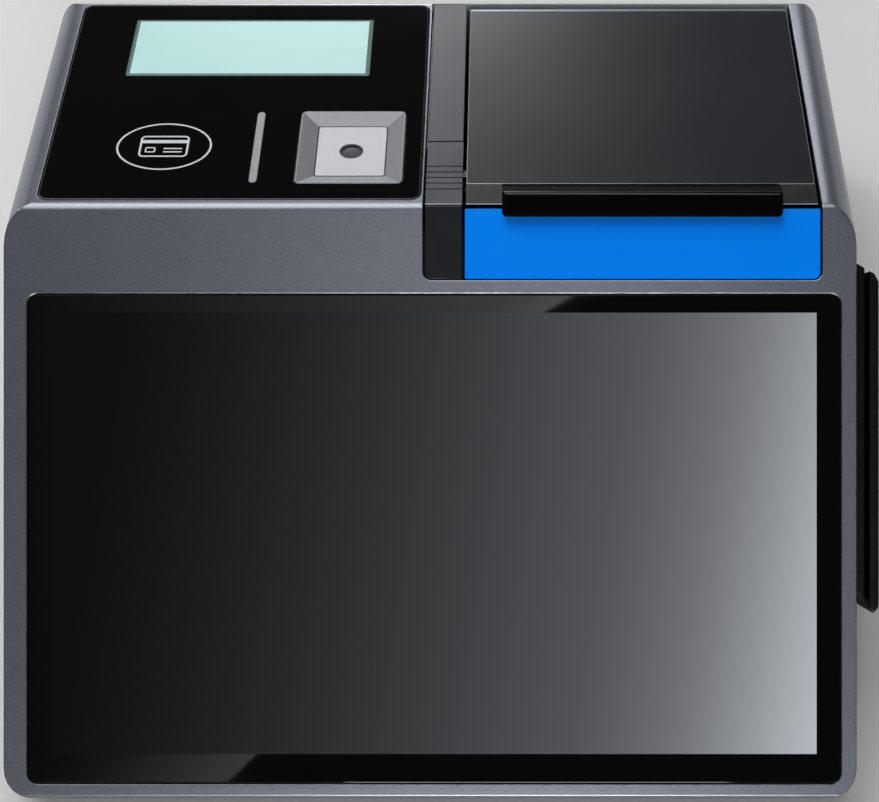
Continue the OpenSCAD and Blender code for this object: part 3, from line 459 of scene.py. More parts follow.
def cells(millimetres):
    """Texture scale at which one cell of a pattern is that wide."""
    return 1.0 / (millimetres * MM)


def blended(tree, shader, share, colour, spread):
    """Base colour that runs from a little darker to a little paler with a share."""
    dark, pale = ((*(c * level for c in colour), 1) for level in (1 - spread, 1 + spread))
    shade = add(tree, "Mix", {0: share, 6: dark, 7: pale}, data_type="RGBA")
    tree.links.new(shade[2], shader.inputs["Base Color"])


def mottled(tree, shader, place, colour, patch, spread, rough, play):
    """Slow drift of colour and roughness over a surface, patches in millimetres."""
    drift = add(tree, "TexNoise", {"Vector": place, "Scale": cells(patch), "Detail": 4.0})["Fac"]
    blended(tree, shader, drift, colour, spread)
    gloss = add(tree, "MapRange", {
        "Value": drift, "From Min": 0.3, "From Max": 0.7, "To Min": rough - play, "To Max": rough + play})
    tree.links.new(gloss["Result"], shader.inputs["Roughness"])


def grained(tree, shader, place, width, depth, strength):
    """Fine moulded or ground grain, its width and depth in millimetres."""
    grit = add(tree, "TexNoise", {"Vector": place, "Scale": cells(width), "Detail": 2.0})
    bump = add(tree, "Bump", {"Height": grit["Fac"], "Strength": strength, "Distance": depth * MM})
    tree.links.new(bump["Normal"], shader.inputs["Normal"])


def surface(name, colour, patch, spread, rough, play=0.06, grain=None, drawn=None, **values):
    """A function that makes, once, a mottled finish, its colour a hex value or one of TerminalColours.

    Over patches in millimetres its colour drifts by a share, spread, and its roughness by play. The
    grain is a width and a depth in millimetres and a strength, and drawn stretches it along an axis.
    Other values go to the principled shader, and what glows does so in its own colour.
    """

    @functools.cache
    def make():
        shade = linear(colour) if colour.startswith("#") else getattr(colours(), colour)
        glow = (*shade, 1.0)
        material, tree, shader, place = begin(name, shade, Roughness=rough, Emission_Color=glow, **values)
        mottled(tree, shader, place, shade, patch, spread, rough, play)
        if drawn:
            place = add(tree, "Mapping", {"Vector": place, "Scale": drawn})["Vector"]
        if grain:
            grained(tree, shader, place, *grain)
        return material

    return make


metal = functools.partial(surface, Metallic=1.0)


@functools.cache
def shell_paint():
    # Metallic paint on ABS: aluminium flakes sparkle under a thin satin lacquer. Real flakes are too
    # fine to show, so they are drawn 0.3 mm wide.
    colour = colours().shell
    material, tree, shader, place = begin(
        "metallic_paint_on_abs", colour, Metallic=0.85, Roughness=0.34,
        Coat_Weight=0.35, Coat_Roughness=0.2)
    flake = add(tree, "TexVoronoi", {"Vector": place, "Scale": cells(0.3)})
    level = add(tree, "SeparateColor", {"Color": flake["Color"]})["Red"]
    blended(tree, shader, level, colour, 0.14)
    gloss = add(tree, "MapRange", {"Value": level, "To Min": 0.31, "To Max": 0.37})
    tree.links.new(gloss["Result"], shader.inputs["Roughness"])
    tilt = add(tree, "Bump", {"Height": level, "Strength": 0.08, "Distance": 0.02 * MM})
    tree.links.new(tilt["Normal"], shader.inputs["Normal"])
    return material


@functools.cache
def picture():
    # Liquid crystal display behind etched anti-glare glass, painted glare on it: a glowing grey fade,
    # dark at the left and pale at the right. The etching is too fine to show, so it is drawn 0.25 mm
    # wide.
    material, tree, shader, place = begin(
        "anti_glare_display", linear("#303133"), Roughness=0.55,
        Specular_IOR_Level=0.0, Emission_Strength=0.4)
    slope, lean = sizes().face_slope, math.radians(-9.0)
    along = (math.cos(lean), math.sin(lean) * math.cos(slope), math.sin(lean) * math.sin(slope))
    run = add(tree, "VectorMath", {0: place, 1: along}, operation="DOT_PRODUCT")["Value"]
    start, end = -0.118, 0.142  # of the fade, in metres along it
    share = add(tree, "MapRange", {"Value": run, "From Min": start, "From Max": end})
    fade = add(tree, "ValToRGB", {"Fac": share["Result"]})["Color"]
    ramp = fade.node.color_ramp
    stops = [(0.0, "#0a0a0a"), (0.22, "#1b1b1c"), (0.45, "#303133"), (0.68, "#4c4d50"), (0.8, "#646569"),
             (0.9, "#85888c"), (1.0, "#b2b5bb")]
    ramp.interpolation = "B_SPLINE"
    while len(ramp.elements) < len(stops):
        ramp.elements.new(0.5)
    for element, (position, code) in zip(ramp.elements, stops):
        element.position = position
        element.color = (*linear(code), 1.0)
    for socket in ("Base Color", "Emission Color"):
        tree.links.new(fade, shader.inputs[socket])
    grained(tree, shader, place, 0.25, 0.004, 0.3)
    return material


@functools.cache
def board_resin():
    # Glass-epoxy circuit board: green solder mask with paler copper tracks showing through.
    mask, thick, copper = (linear(code) for code in ("#1d5a3a", "#236644", "#2f7a52"))
    material, tree, shader, place = begin("green_solder_mask", mask, IOR=1.55)
    mottled(tree, shader, place, mask, 8.0, 0.1, 0.35, 0.06)
    tracks = add(tree, "TexBrick", {
        "Vector": place, "Color1": (*mask, 1), "Color2": (*thick, 1), "Mortar": (*copper, 1),
        "Scale": cells(8.0), "Mortar Size": 0.05})
    tree.links.new(tracks["Color"], shader.inputs["Base Color"])
    grained(tree, shader, place, 0.6, 0.01, 0.3)
    return material


@functools.cache
def floor_sheet():
    # Pale matt laminate sheet that keeps the object's shadow and runs out to white far from the lamps.
    colour = linear("#dcdcdc")
    material, tree, shader, place = begin("pale_laminate", colour, Emission_Color=(1.0, 1.0, 1.0, 1.0))
    mottled(tree, shader, place, colour, 120.0, 0.01, 0.7, 0.05)
    away = add(tree, "VectorMath", {0: place}, operation="LENGTH")["Value"]
    near, far, white = 0.7, 2.2, 0.7  # metres from the object, and the glow that makes the floor white
    pale = add(tree, "MapRange", {"Value": away, "From Min": near, "From Max": far, "To Max": white})
    path = add(tree, "LightPath", {})
    seen = path["Is Camera Ray"]
    for ray in ("Is Glossy Ray", "Is Transmission Ray"):
        seen = add(tree, "Math", {0: seen, 1: path[ray]}, operation="MAXIMUM")["Value"]
    glow = add(tree, "Math", {0: pale["Result"], 1: seen}, operation="MULTIPLY")
    tree.links.new(glow["Value"], shader.inputs["Emission Strength"])
    return material


# The same metallic paint, a little smoother, on the rounded edges: a painted highlight along them.
shell_painted_highlight = surface(
    "rubbed_metallic_paint", "shell_painted_highlight", patch=6.0, spread=0.15, rough=0.3, play=0.08, Metallic=0.8)

# Pale grey on the wall that the lid swings past, matt and even: a painted highlight behind the lid.
shell_wall_painted_highlight = surface("bare_grey_abs", "#c4c7cc", patch=9.0, spread=0.05, rough=0.6, play=0.05, IOR=1.54)

# Aluminosilicate cover glass over black screen print: deep black with a clean, sharp reflection.
glass_border = surface(
    "black_printed_glass", "border", patch=40.0, spread=0.2, rough=0.03, play=0.012,
    IOR=1.5, Specular_IOR_Level=0.28)

# Cast black acrylic, polished: a deep gloss with a few soft wiping marks.
panel_acrylic = surface(
    "black_acrylic", "panel", patch=30.0, spread=0.2, rough=0.06, play=0.012,
    IOR=1.49, Specular_IOR_Level=0.25)

# Grey on the acrylic's machined chamfer: a painted highlight that shows as a hairline.
panel_painted_highlight = surface("frosted_acrylic_edge", "#202124", patch=2.0, spread=0.2, rough=0.35, play=0.1)

# Backlit negative display behind a diffuser: an even pale mint glow.
mint_display = surface(
    "backlit_mint_display", "mint", patch=25.0, spread=0.03, rough=0.35, play=0.05,
    grain=(0.4, 0.01, 0.2), Emission_Strength=0.04)

# Moulded polycarbonate tray: mint darkened to grey-green, painted shade on its sloping border.
mint_painted_shade = surface("mint_polycarbonate", "#55706d", patch=5.0, spread=0.08, rough=0.45)

# Pad-printed epoxy ink: matt pale grey with a slightly uneven lay.
mark_ink = surface("pale_grey_pad_print", "#c6c8cb", patch=0.8, spread=0.06, rough=0.6)

# Opal polycarbonate light pipe: milky grey while the lamp is off.
diffuser = surface(
    "opal_polycarbonate", "#8e8f93", patch=6.0, spread=0.05, rough=0.4, play=0.05,
    Subsurface_Weight=0.2, Subsurface_Radius=(2 * MM,) * 3)

# Silver paint on plastic: soft metal sheen broken by fine overspray.
silver_paint = surface(
    "silver_paint_on_abs", "silver", patch=1.2, spread=0.06, rough=0.45, play=0.07,
    grain=(0.15, 0.008, 0.25), Metallic=0.3)

# Satin anodised plate: pale, fine and even, with hardly any mirror in it.
satin_plate = surface(
    "satin_anodised_aluminium", "plate", patch=3.0, spread=0.03, rough=0.5, play=0.05,
    grain=(0.12, 0.006, 0.3), Metallic=0.25)

# Self-coloured ABS: saturated blue with a soft sheen and faint flow marks.
blue_abs = surface(
    "glossy_blue_abs", "blue", patch=22.0, spread=0.03, rough=0.42, play=0.05,
    grain=(0.5, 0.006, 0.2), IOR=1.54, Specular_IOR_Level=0.08)

# Piano-finish ABS, dark grey: a soft clear reflection with a trace of orange peel.
lid_gloss = surface(
    "dark_gloss_abs", "lid", patch=35.0, spread=0.03, rough=0.3, play=0.012, grain=(1.5, 0.004, 0.3),
    IOR=1.54, Specular_IOR_Level=0.35, Coat_Weight=0.25, Coat_Roughness=0.22)

# A painted highlight on the lid's chamfer: a thin pale line around it.
lid_painted_highlight = surface("cut_abs_edge", "#85888d", patch=4.0, spread=0.1, rough=0.35, Metallic=0.3)

# Satin ABS from an etched mould: grey with a fine even grain that breaks the highlight.
strip_abs = surface(
    "satin_grey_abs", "strip", patch=12.0, spread=0.06, rough=0.36, play=0.05,
    grain=(0.2, 0.012, 0.35), IOR=1.54)

# The same satin ABS, moulded darker for the front of the printer.
front_strip_abs = surface(
    "satin_dark_grey_abs", "strip_face", patch=12.0, spread=0.06, rough=0.4, play=0.05,
    grain=(0.2, 0.012, 0.35), IOR=1.54, Specular_IOR_Level=0.25)

# Black acetal as it comes from the mould: nearly black from every side.
tear_matt = surface(
    "moulded_black_acetal", "tear", patch=15.0, spread=0.15, rough=0.45, play=0.03,
    IOR=1.48, Specular_IOR_Level=0.02)

# The crest that paper is torn over, polished by it: one long soft highlight.
tear_gloss = surface(
    "polished_black_acetal", "tear", patch=15.0, spread=0.15, rough=0.16, play=0.03,
    IOR=1.48, Specular_IOR_Level=0.2)

# ABS from a spark-eroded mould: dark grey, matt, with a leathery grain of about half a millimetre.
base_abs = surface(
    "eroded_dark_abs", "base", patch=18.0, spread=0.08, rough=0.55, grain=(0.5, 0.03, 0.5), IOR=1.54)

# Black polycarbonate blend, lightly grained, worn a little glossy where cards slide.
reader_abs = surface(
    "black_polycarbonate", "reader", patch=10.0, spread=0.08, rough=0.38, play=0.03,
    grain=(0.3, 0.012, 0.4), IOR=1.58, Specular_IOR_Level=0.25)

# Moulded rubber: dull black with a dusty grain.
foot_rubber = surface(
    "moulded_rubber", "#1b1b1c", patch=5.0, spread=0.2, rough=0.8, play=0.08,
    grain=(0.3, 0.03, 0.5), IOR=1.52)

# Ground nitrile rubber: dark, velvety, with fine rings left by the grinding wheel.
platen_rubber = surface(
    "ground_nitrile_rubber", "#1e1e20", patch=6.0, spread=0.15, rough=0.7,
    grain=(0.4, 0.02, 0.4), drawn=(1.0, 0.05, 0.05), IOR=1.52)

# Zinc-plated sheet steel: cool grey, faintly spangled, rolled along its length.
zinc_sheet = metal(
    "zinc_plated_steel", "#a3a7ad", patch=7.0, spread=0.1, rough=0.36, play=0.08,
    grain=(0.3, 0.006, 0.3), drawn=(0.06, 1.0, 1.0))

# Turned and polished steel: bright, with hair-fine turning lines.
bright_steel = metal(
    "bright_turned_steel", "#c2c5ca", patch=3.0, spread=0.06, rough=0.25,
    grain=(0.15, 0.004, 0.25))

# Blackened spring steel: nearly black, with a dull oily sheen.
black_oxide = surface("blackened_steel", "#1a1b1d", patch=1.5, spread=0.15, rough=0.5, Metallic=0.6)

# Natural acetal: warm white, slightly waxy, as moulded gears are.
acetal = surface("natural_acetal", "#e4e0d3", patch=4.0, spread=0.04, rough=0.42, IOR=1.48)

# Free-cutting brass: yellow and bright, its gloss a little uneven from turning.
turned_brass = metal("turned_brass", "#c7a14d", patch=2.0, spread=0.08, rough=0.28)

# Gold flash over nickel spring contacts: warm and bright.
gold_contacts = metal("gold_flashed_contacts", "#d8b25a", patch=1.0, spread=0.08, rough=0.22, play=0.05)

# Extruded aluminium: pale grey with drawn lines along its length.
extruded_aluminium = metal(
    "extruded_aluminium", "#b7bbc0", patch=5.0, spread=0.06, rough=0.38, play=0.07,
    grain=(0.3, 0.008, 0.3), drawn=(0.04, 1.0, 1.0))

# Alumina ceramic under a glaze: off-white, smooth, a soft gloss.
head_ceramic = surface("glazed_alumina", "#dedacd", patch=6.0, spread=0.04, rough=0.2, play=0.05, IOR=1.6)

# Tin-plated socket shell: pale steel grey with a satin bloom.
tinned_shell = metal("tinned_steel", "#b2b5b9", patch=3.0, spread=0.08, rough=0.33, play=0.07)

# Closed-cell foam: dark grey, dull, with cells of about half a millimetre.
gasket_foam = surface(
    "closed_cell_foam", "#202123", patch=2.0, spread=0.15, rough=0.85, play=0.05, grain=(0.5, 0.05, 0.6))

# Coated optical glass: dark grey, with a faint blue-violet bloom in its reflection.
coated_lens = surface(
    "coated_lens_glass", "#36373b", patch=1.5, spread=0.1, rough=0.3, play=0.04,
    IOR=1.5, Coat_Weight=0.4, Coat_Roughness=0.1, Coat_Tint=(*linear("#d5d4e6"), 1.0))


class Piece:
    """What every operator here shares."""

    bl_options = {"REGISTER", "UNDO"}


class TERMINAL_OT_stage(Piece, bpy.types.Operator):
    """Floor, soft lamps, pale surroundings and the camera"""

    bl_idname = "terminal.stage"
    bl_label = "Stage"

    def lamp(self, name, place, aim, size, watts):
        fresh()
        bpy.ops.object.light_add(type="AREA", location=place)
        lamp = named(name)
        lamp.data.shape = "RECTANGLE"
        lamp.data.size, lamp.data.size_y = size
        lamp.data.energy = watts
        lamp.rotation_euler = (Vector(aim) - Vector(place)).to_track_quat("-Z", "Y").to_euler()

    def card(self, name, lift, corners, curve, low, high):
        """A sheer glowing card over the face, seen only as a reflection, brighter to the right and up.

        Its corners run clockwise from the upper left, in metres on the face where the camera sees them.
        """
        reach = sizes().camera_reach
        grow = 1.0 + lift / reach
        foot = Vector((sizes().camera_side, -sizes().camera_drop))
        fresh()
        bpy.ops.mesh.primitive_plane_add(size=1.0)
        card = named(name)
        for vertex, at in zip((2, 3, 1, 0), corners):
            spot = foot + (Vector(at) - foot) * grow
            card.data.vertices[vertex].co = (spot.x, spot.y, lift)
        card.data.transform(face_frame())
        material = bpy.data.materials.new(name + "_cloth")
        tree = bare(material)
        run = add(tree, "SeparateXYZ", {"Vector": add(tree, "TexCoord", {})["UV"]})
        fade = add(tree, "Math", {0: run["X"], 1: curve}, operation="POWER")
        level = add(tree, "MapRange", {"Value": run["Y"], "To Min": low, "To Max": high})
        glow = add(tree, "Math", {0: fade["Value"], 1: level["Result"]}, operation="MULTIPLY")
        light = add(tree, "Emission", {"Strength": glow["Value"]})["Emission"]
        sheer = add(tree, "BsdfTransparent", {})["BSDF"]
        cloth = add(tree, "AddShader", {0: light, 1: sheer})
        add(tree, "OutputMaterial", {"Surface": cloth["Shader"]})
        card.data.materials.append(material)
        card.visible_camera = card.visible_diffuse = card.visible_shadow = False

    def room(self, scene):
        """Surroundings that are pale at the horizon and dim above."""
        scene.world = bpy.data.worlds.new("pale_room")
        tree = bare(scene.world)
        way = add(tree, "TexCoord", {})["Generated"]
        rise = add(tree, "SeparateXYZ", {"Vector": way})["Z"]
        band = add(tree, "MapRange", {"Value": rise, "From Max": 0.16, "To Min": 0.75, "To Max": 0.07})
        room = add(tree, "Background", {"Color": (0.95, 0.97, 1.0, 1.0), "Strength": band["Result"]})
        add(tree, "OutputWorld", {"Surface": room["Background"]})

    def camera(self, scene):
        """A camera that looks squarely at the face, as the photo's does."""
        bpy.ops.object.camera_add()
        camera = named("camera")
        shift = Vector((sizes().camera_side, -sizes().camera_drop, sizes().camera_reach))
        camera.matrix_world = face_frame() @ Matrix.Translation(shift)
        camera.data.sensor_width = SENSOR
        camera.data.lens = SENSOR * FOCAL / IMAGE_WIDTH
        camera.data.shift_x = (IMAGE_WIDTH / 2 - AXIS) / IMAGE_WIDTH
        scene.camera = camera

    def execute(self, context):
        fresh()
        bpy.ops.mesh.primitive_plane_add(size=8.0)
        floor = named("floor")
        floor.data.materials.append(floor_sheet())
        glare = [(-0.19, 0.03), (0.0811, 0.03), (-0.1077, -0.26), (-0.19, -0.26)]
        self.card("glare_card", 1.0, glare, curve=2.2, low=1.0, high=3.6)
        glow = [(-0.07, 0.04), (0.09, 0.04), (0.09, -0.26), (-0.07, -0.26)]
        self.card("glow_card", 1.02, glow, curve=0.7, low=0.9, high=1.9)
        for lamp in LAMPS:
            self.lamp(*lamp)
        self.room(context.scene)
        self.camera(context.scene)
        context.scene.view_settings.view_transform = "Standard"
        return {"FINISHED"}


class TERMINAL_OT_housing(Piece, bpy.types.Operator):
    """Upper shell and base tray"""

    bl_idname = "terminal.housing"
    bl_label = "Housing"

    def execute(self, context):
        to_deck = deck_frame().inverted()
        behind = 115 * MM  # the strip behind the customer panel is too narrow for a rounded edge
        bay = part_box("side_strip")[0].x
        # Its rounded edges carry a painted highlight.
        shell = dress(
            "upper_shell", shell_paint(), edge=sizes().shell_edge / MM, rim=shell_painted_highlight(),
            spare=lambda a, b: min((to_deck @ a).y, (to_deck @ b).y) > behind and min(a.x, b.x) < bay)
        # The wall behind the lid in pale grey: a painted highlight.
        recoat(shell, shell_wall_painted_highlight(), lambda at, out: at.y > behind and out.y < -0.9)
        mirror("glow_card", shell)
        mirror("rear_right_softbox", shell)
        dress("base_tray", base_abs(), edge=0.3)
        return {"FINISHED"}


class TERMINAL_OT_underside(Piece, bpy.types.Operator):
    """Ringed rubber feet and cross-recessed case screws"""

    bl_idname = "terminal.underside"
    bl_label = "Feet and screws"

    def foot(self, radius, height):
        """One ringed foot standing on the origin."""
        foot = drum("foot", radius, height, 0.0, 64)
        pick(foot, "FACE", lambda middle, normal: normal.z < -0.9)
        insets((1.0, 0.0), (1.6, 0.0), (1.2, -0.7), (0.6, 0.7))
        rim = (radius - 0.1) * MM
        bevelled(foot, 0.9, 4, lambda a, b: max(a.z, b.z) < 1e-6 and min(a.xy.length, b.xy.length) > rim)
        return foot

    def feet(self):
        """A foot near each corner of the base."""
        low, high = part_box("rubber_feet")
        radius = 9.0
        reach = Vector((radius, radius, 0.0)) * MM
        foot = self.foot(radius, high.z / MM)
        feet = [twin(foot, Vector((x, y, 0.0))) for x in ((low + reach).x, (high - reach).x)
                for y in ((low + reach).y, (high - reach).y)]
        bpy.data.objects.remove(foot)
        feet = joined("rubber_feet_finish", feet)
        smooth(feet)
        stand_in(feet, foot_rubber(), "rubber_feet")

    def recess(self, screw, foot):
        """A cross recess in a screw's head, and its rim rounded."""
        for size in ((3.2, 0.8, 1.8), (0.8, 3.2, 1.8)):
            carve(screw, block("bar", size, foot / MM))
        chamfer(screw, 0.25 * MM, 2, 40)

    def screws(self, scene):
        """The case screws, one of each length modelled and copied to the places of its like."""
        edit(copied("case_screws"))
        bpy.ops.mesh.separate(type="LOOSE")
        fresh()
        blanks = [o for o in scene.objects if o.name.startswith("case_screws_finish")]
        kinds = {}
        for blank in blanks:
            low, high = extent(v.co for v in blank.data.vertices)
            foot = Vector(((low.x + high.x) / 2, (low.y + high.y) / 2, low.z))
            kinds.setdefault(round(high.z - low.z, 5), []).append((blank, foot))
        copies = []
        for same in kinds.values():
            model, base = same[0]
            self.recess(model, base)
            copies += [twin(model, foot - base) for _, foot in same]
        for blank in blanks:
            bpy.data.objects.remove(blank)
        screws = joined("case_screws_finish", copies)
        smooth(screws)
        stand_in(screws, bright_steel(), "case_screws")

    def execute(self, context):
        self.feet()
        self.screws(context.scene)
        return {"FINISHED"}


class TERMINAL_OT_screen(Piece, bpy.types.Operator):
    """Touch glass with its printed border and picture, and what is behind it"""

    bl_idname = "terminal.screen"
    bl_label = "Touch screen"

    def glass(self):
        """The glass, cut along the edges of the picture so that the border can be black."""
        glass = copied("touch_glass")
        glass.data.transform(face_frame().inverted())
        low, high = extent(v.co for v in glass.data.vertices)
        chamfer(glass, sizes().glass_edge, 3, 40)
        cuts = [(0, low.x + sizes().picture_left), (0, high.x - sizes().picture_right),
                (1, low.y + sizes().picture_low), (1, high.y - sizes().picture_top)]
        for axis, at in cuts:
            edit(glass)
            way = Vector([float(i == axis) for i in range(3)])
            bpy.ops.mesh.bisect(plane_co=way * at, plane_no=way)
        fresh()
        glass.data.materials.append(glass_border())
        glass.data.materials.append(picture())
        for face in glass.data.polygons:
            inside = cuts[0][1] < face.center.x < cuts[1][1] and cuts[2][1] < face.center.y < cuts[3][1]
            face.material_index = 1 if inside and face.normal.z > 0.9 else 0
        smooth(glass)
        stand_in(glass, None, "touch_glass", place=face_frame())
        mirror("glare_card", glass)

    def execute(self, context):
        self.glass()
        paint(gasket_foam(), "screen_gasket")
        paint(reader_abs(), "lcd_panel")
        paint(zinc_sheet(), "lcd_bracket")
        paint(bright_steel(), "bracket_screws")
        return {"FINISHED"}


class TERMINAL_OT_customer_panel(Piece, bpy.types.Operator):
    """Black customer panel, lit display, light bar and tap mark"""

    bl_idname = "terminal.customer_panel"
    bl_label = "Customer panel"

    def ring(self, name, width, depth, stroke, corner=None):
        """A flat ring in millimetres around the origin: an oval, or a rectangle with round corners."""
        fresh()
        if corner is None:
            bpy.ops.mesh.primitive_circle_add(vertices=96, radius=0.5, fill_type="NGON")
        else:
            bpy.ops.mesh.primitive_plane_add(size=1.0)
        ring = named(name)
        ring.scale = (width * MM, depth * MM, 1.0)
        bpy.ops.object.transform_apply(location=False, rotation=False, scale=True)
        edit(ring)
        if corner is not None:
            bpy.ops.mesh.bevel(offset=corner * MM, segments=10, affect="VERTICES")
            bpy.ops.mesh.select_all(action="SELECT")
        bpy.ops.mesh.inset(thickness=stroke * MM, depth=0.0)
        bpy.ops.mesh.delete(type="FACE")
        bpy.ops.mesh.select_all(action="SELECT")
        bpy.ops.mesh.extrude_region_move(TRANSFORM_OT_translate={"value": (0.0, 0.0, 0.05 * MM)})
        bpy.ops.mesh.select_all(action="SELECT")
        bpy.ops.mesh.normals_make_consistent(inside=False)
        fresh()
        return ring

    def tap_mark(self):
        """A plain oval with a card inside it, where a card is held."""
        stroke = sizes().mark_stroke / MM
        oval = self.ring("tap_mark", 33.0, 25.5, stroke)
        card = self.ring("card", 17.0, 11.5, stroke, 1.84)
        stripe = block("stripe", (15.6, 1.7, 0.05), (0.0, 2.6, 0.025))
        chip = self.ring("chip", 3.6, 2.8, 0.5, 0.56)
        chip.data.transform(Matrix.Translation((-4.6 * MM, -1.9 * MM, 0.0)))
        lines = [block("line", (6.4, 0.6, 0.05), (3.2, y, 0.025)) for y in (-1.2, -3.0)]
        mark = joined("tap_mark", [oval, card, stripe, chip, *lines])
        place = deck_frame() @ Matrix.Translation((-92.9 * MM, 31.3 * MM, 0.0))
        attach(mark, mark_ink(), "housing", place)

    def display(self):
        """The lit window: an even face with a narrow sloping border in painted shade."""
        tray = block("customer_display_finish", (93.0, 39.9, 3.0), (-67.95, 89.25, -3.5))
        tray.data.materials.append(mint_display())
        tray.data.materials.append(mint_painted_shade())
        pick(tray, "FACE", lambda middle, normal: normal.z > 0.9)
        insets((2.5, 0.0))
        bpy.ops.mesh.extrude_region_move(TRANSFORM_OT_translate={"value": (0.0, 0.0, 1.5 * MM)})
        insets((1.5, 0.35))
        fresh()
        lit = 1e-3  # square metres that only the window itself has
        # The sloping border gets the painted shade.
        for face in tray.data.polygons:
            face.material_index = 0 if face.normal.z > 0.99 and face.area > lit else 1
        stand_in(tray, None, "customer_display", place=deck_frame())

    def light_bar(self):
        bar = copied("status_light")
        chamfer(bar, 0.5 * MM, 3, 50)
        smooth(bar)
        stand_in(bar, diffuser(), "status_light")

    def execute(self, context):
        to_deck = deck_frame().inverted()
        low, high = extent(to_deck @ v.co for v in frame["nodes"]["customer_panel"].data.vertices)
        margin = 1.1 * MM

        def inner(a, b):
            """Edges of the openings, which what fills them hides."""
            ends = [to_deck @ end for end in (a, b)]
            return all(low[i] + margin < end[i] < high[i] - margin for end in ends for i in (0, 1))

        # Its outer chamfer carries a painted highlight.
        dress("customer_panel", panel_acrylic(), edge=0.45, rim=panel_painted_highlight(), spare=inner)
        self.display()
        self.light_bar()
        self.tap_mark()
        paint(board_resin(), "display_board", "contactless_antenna", "light_board")
        return {"FINISHED"}


class TERMINAL_OT_scanner(Piece, bpy.types.Operator):
    """Scanner bezel, plate, barrel and lens"""

    bl_idname = "terminal.scanner"
    bl_label = "Code scanner"

    def lens(self):
        """The barrel up to the plate's face, with the lens sunk in it."""
        to_deck = deck_frame().inverted()
        low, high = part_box("scanner_lens")
        middle = to_deck @ ((low + high) / 2)
        top = max((to_deck @ v.co).z for v in frame["nodes"]["scanner_plate"].data.vertices)
        rise = (top - middle.z) / MM
        lens = drum("scanner_lens_finish", 3.9, rise + 0.1, -0.7, 64)
        pick(lens, "FACE", lambda centre, normal: normal.z > 0.9)
        insets((0.3, 0.0), (0.2, -0.15), (1.2, 0.05), (1.0, 0.03))
        fresh()
        smooth(lens, 30.0)
        stand_in(lens, coated_lens(), "scanner_lens", place=deck_frame() @ Matrix.Translation(middle))

    def execute(self, context):
        dress("scanner_bezel", silver_paint(), edge=0.3)
        dress("scanner_plate", satin_plate())
        paint(reader_abs(), "scanner_engine")
        self.lens()
        return {"FINISHED"}


class TERMINAL_OT_printer_front(Piece, bpy.types.Operator):
    """Blue front cover, dark strip beside it and the fixed strip on the deck"""

    bl_idname = "terminal.printer_front"
    bl_label = "Printer front"

    def execute(self, context):
        dress("front_cover", blue_abs(), edge=0.4, steps=3)
        dress("strip_front", front_strip_abs(), edge=0.3)
        dress("side_strip", strip_abs(), edge=0.25)
        paint(reader_abs(), "front_carrier")
        return {"FINISHED"}


class TERMINAL_OT_lid(Piece, bpy.types.Operator):
    """Printer lid: glossy cover, frame, tear bar and platen bushes"""

    bl_idname = "terminal.lid"
    bl_label = "Printer lid"

    def cover(self):
        """The glossy cover, in the housing's paint where it rounds over the hinge."""
        # Its chamfer carries a painted highlight.
        cover = dress("lid_cover", lid_gloss(), edge=sizes().lid_edge / MM, rim=lid_painted_highlight())
        hinge = (deck_frame().inverted() @ Vector(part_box("hinge_pins")[0])).y
        recoat(cover, shell_paint(), lambda at, out: at.y > hinge)

    def tear_bar(self):
        """The black bar: round at the front, stepped down behind a polished crest."""
        bar = copied("tear_bar")
        width, middle = across("tear_bar")
        front = max((face_frame().inverted() @ v.co).z for v in bar.data.vertices) / MM
        blank = block("blank", (width - 0.02, 40.0, 40.0), (middle, 16.02, front - 20.01))
        bevelled(blank, 1.8, 8, lambda a, b: a.x == b.x and (max(a.y, b.y) < 0 or min(a.z, b.z) > 0))
        blank.data.transform(face_frame())
        carve(bar, blank, "INTERSECT")
        step = block("step", (width + 2.0, 12.0, 12.0), (middle, 12.5, 6.3))
        step.data.transform(deck_frame())
        carve(bar, step)
        bar.data.materials.append(tear_matt())
        round_edges(bar, 0.15)
        crest = 3.0 * MM
        recoat(bar, tear_gloss(), lambda at, out: at.z > crest and out.z > 0.5 and -0.66 < out.y < 0.3)
        stand_in(bar, None, "tear_bar")

    def execute(self, context):
        self.cover()
        # Its rounded front edge gets a painted highlight.
        glint(dress("lid_frame", front_strip_abs()))
        self.tear_bar()
        paint(acetal(), "platen_bushes")
        return {"FINISHED"}


class TERMINAL_OT_paper_bay(Piece, bpy.types.Operator):
    """Paper bucket and the lid's hinge pins"""

    bl_idname = "terminal.paper_bay"
    bl_label = "Paper bay"

    def execute(self, context):
        dress("paper_bucket", base_abs(), edge=0.25)
        paint(bright_steel(), "hinge_pins")
        return {"FINISHED"}


class TERMINAL_OT_print_drive(Piece, bpy.types.Operator):
    """Mechanism frame, feed motor, gears, platen and print head"""

    bl_idname = "terminal.print_drive"
    bl_label = "Print drive"

    def execute(self, context):
        dress("mechanism_frame", zinc_sheet(), edge=0.12)
        dress("feed_motor", zinc_sheet(), edge=0.4)
        dress("platen_roller", platen_rubber(), edge=0.4)
        dress("print_head", extruded_aluminium(), edge=0.15)
        dress("head_strip", head_ceramic())
        paint(bright_steel(), "frame_screws", "platen_shaft", "head_shaft")
        up, out = (face_frame().to_3x3().col[axis].copy() for axis in (1, 2))
        spring("head_springs")
        paint(turned_brass(), "motor_pinion")
        paint(acetal(), "idler_gear", "platen_gear")
        return {"FINISHED"}


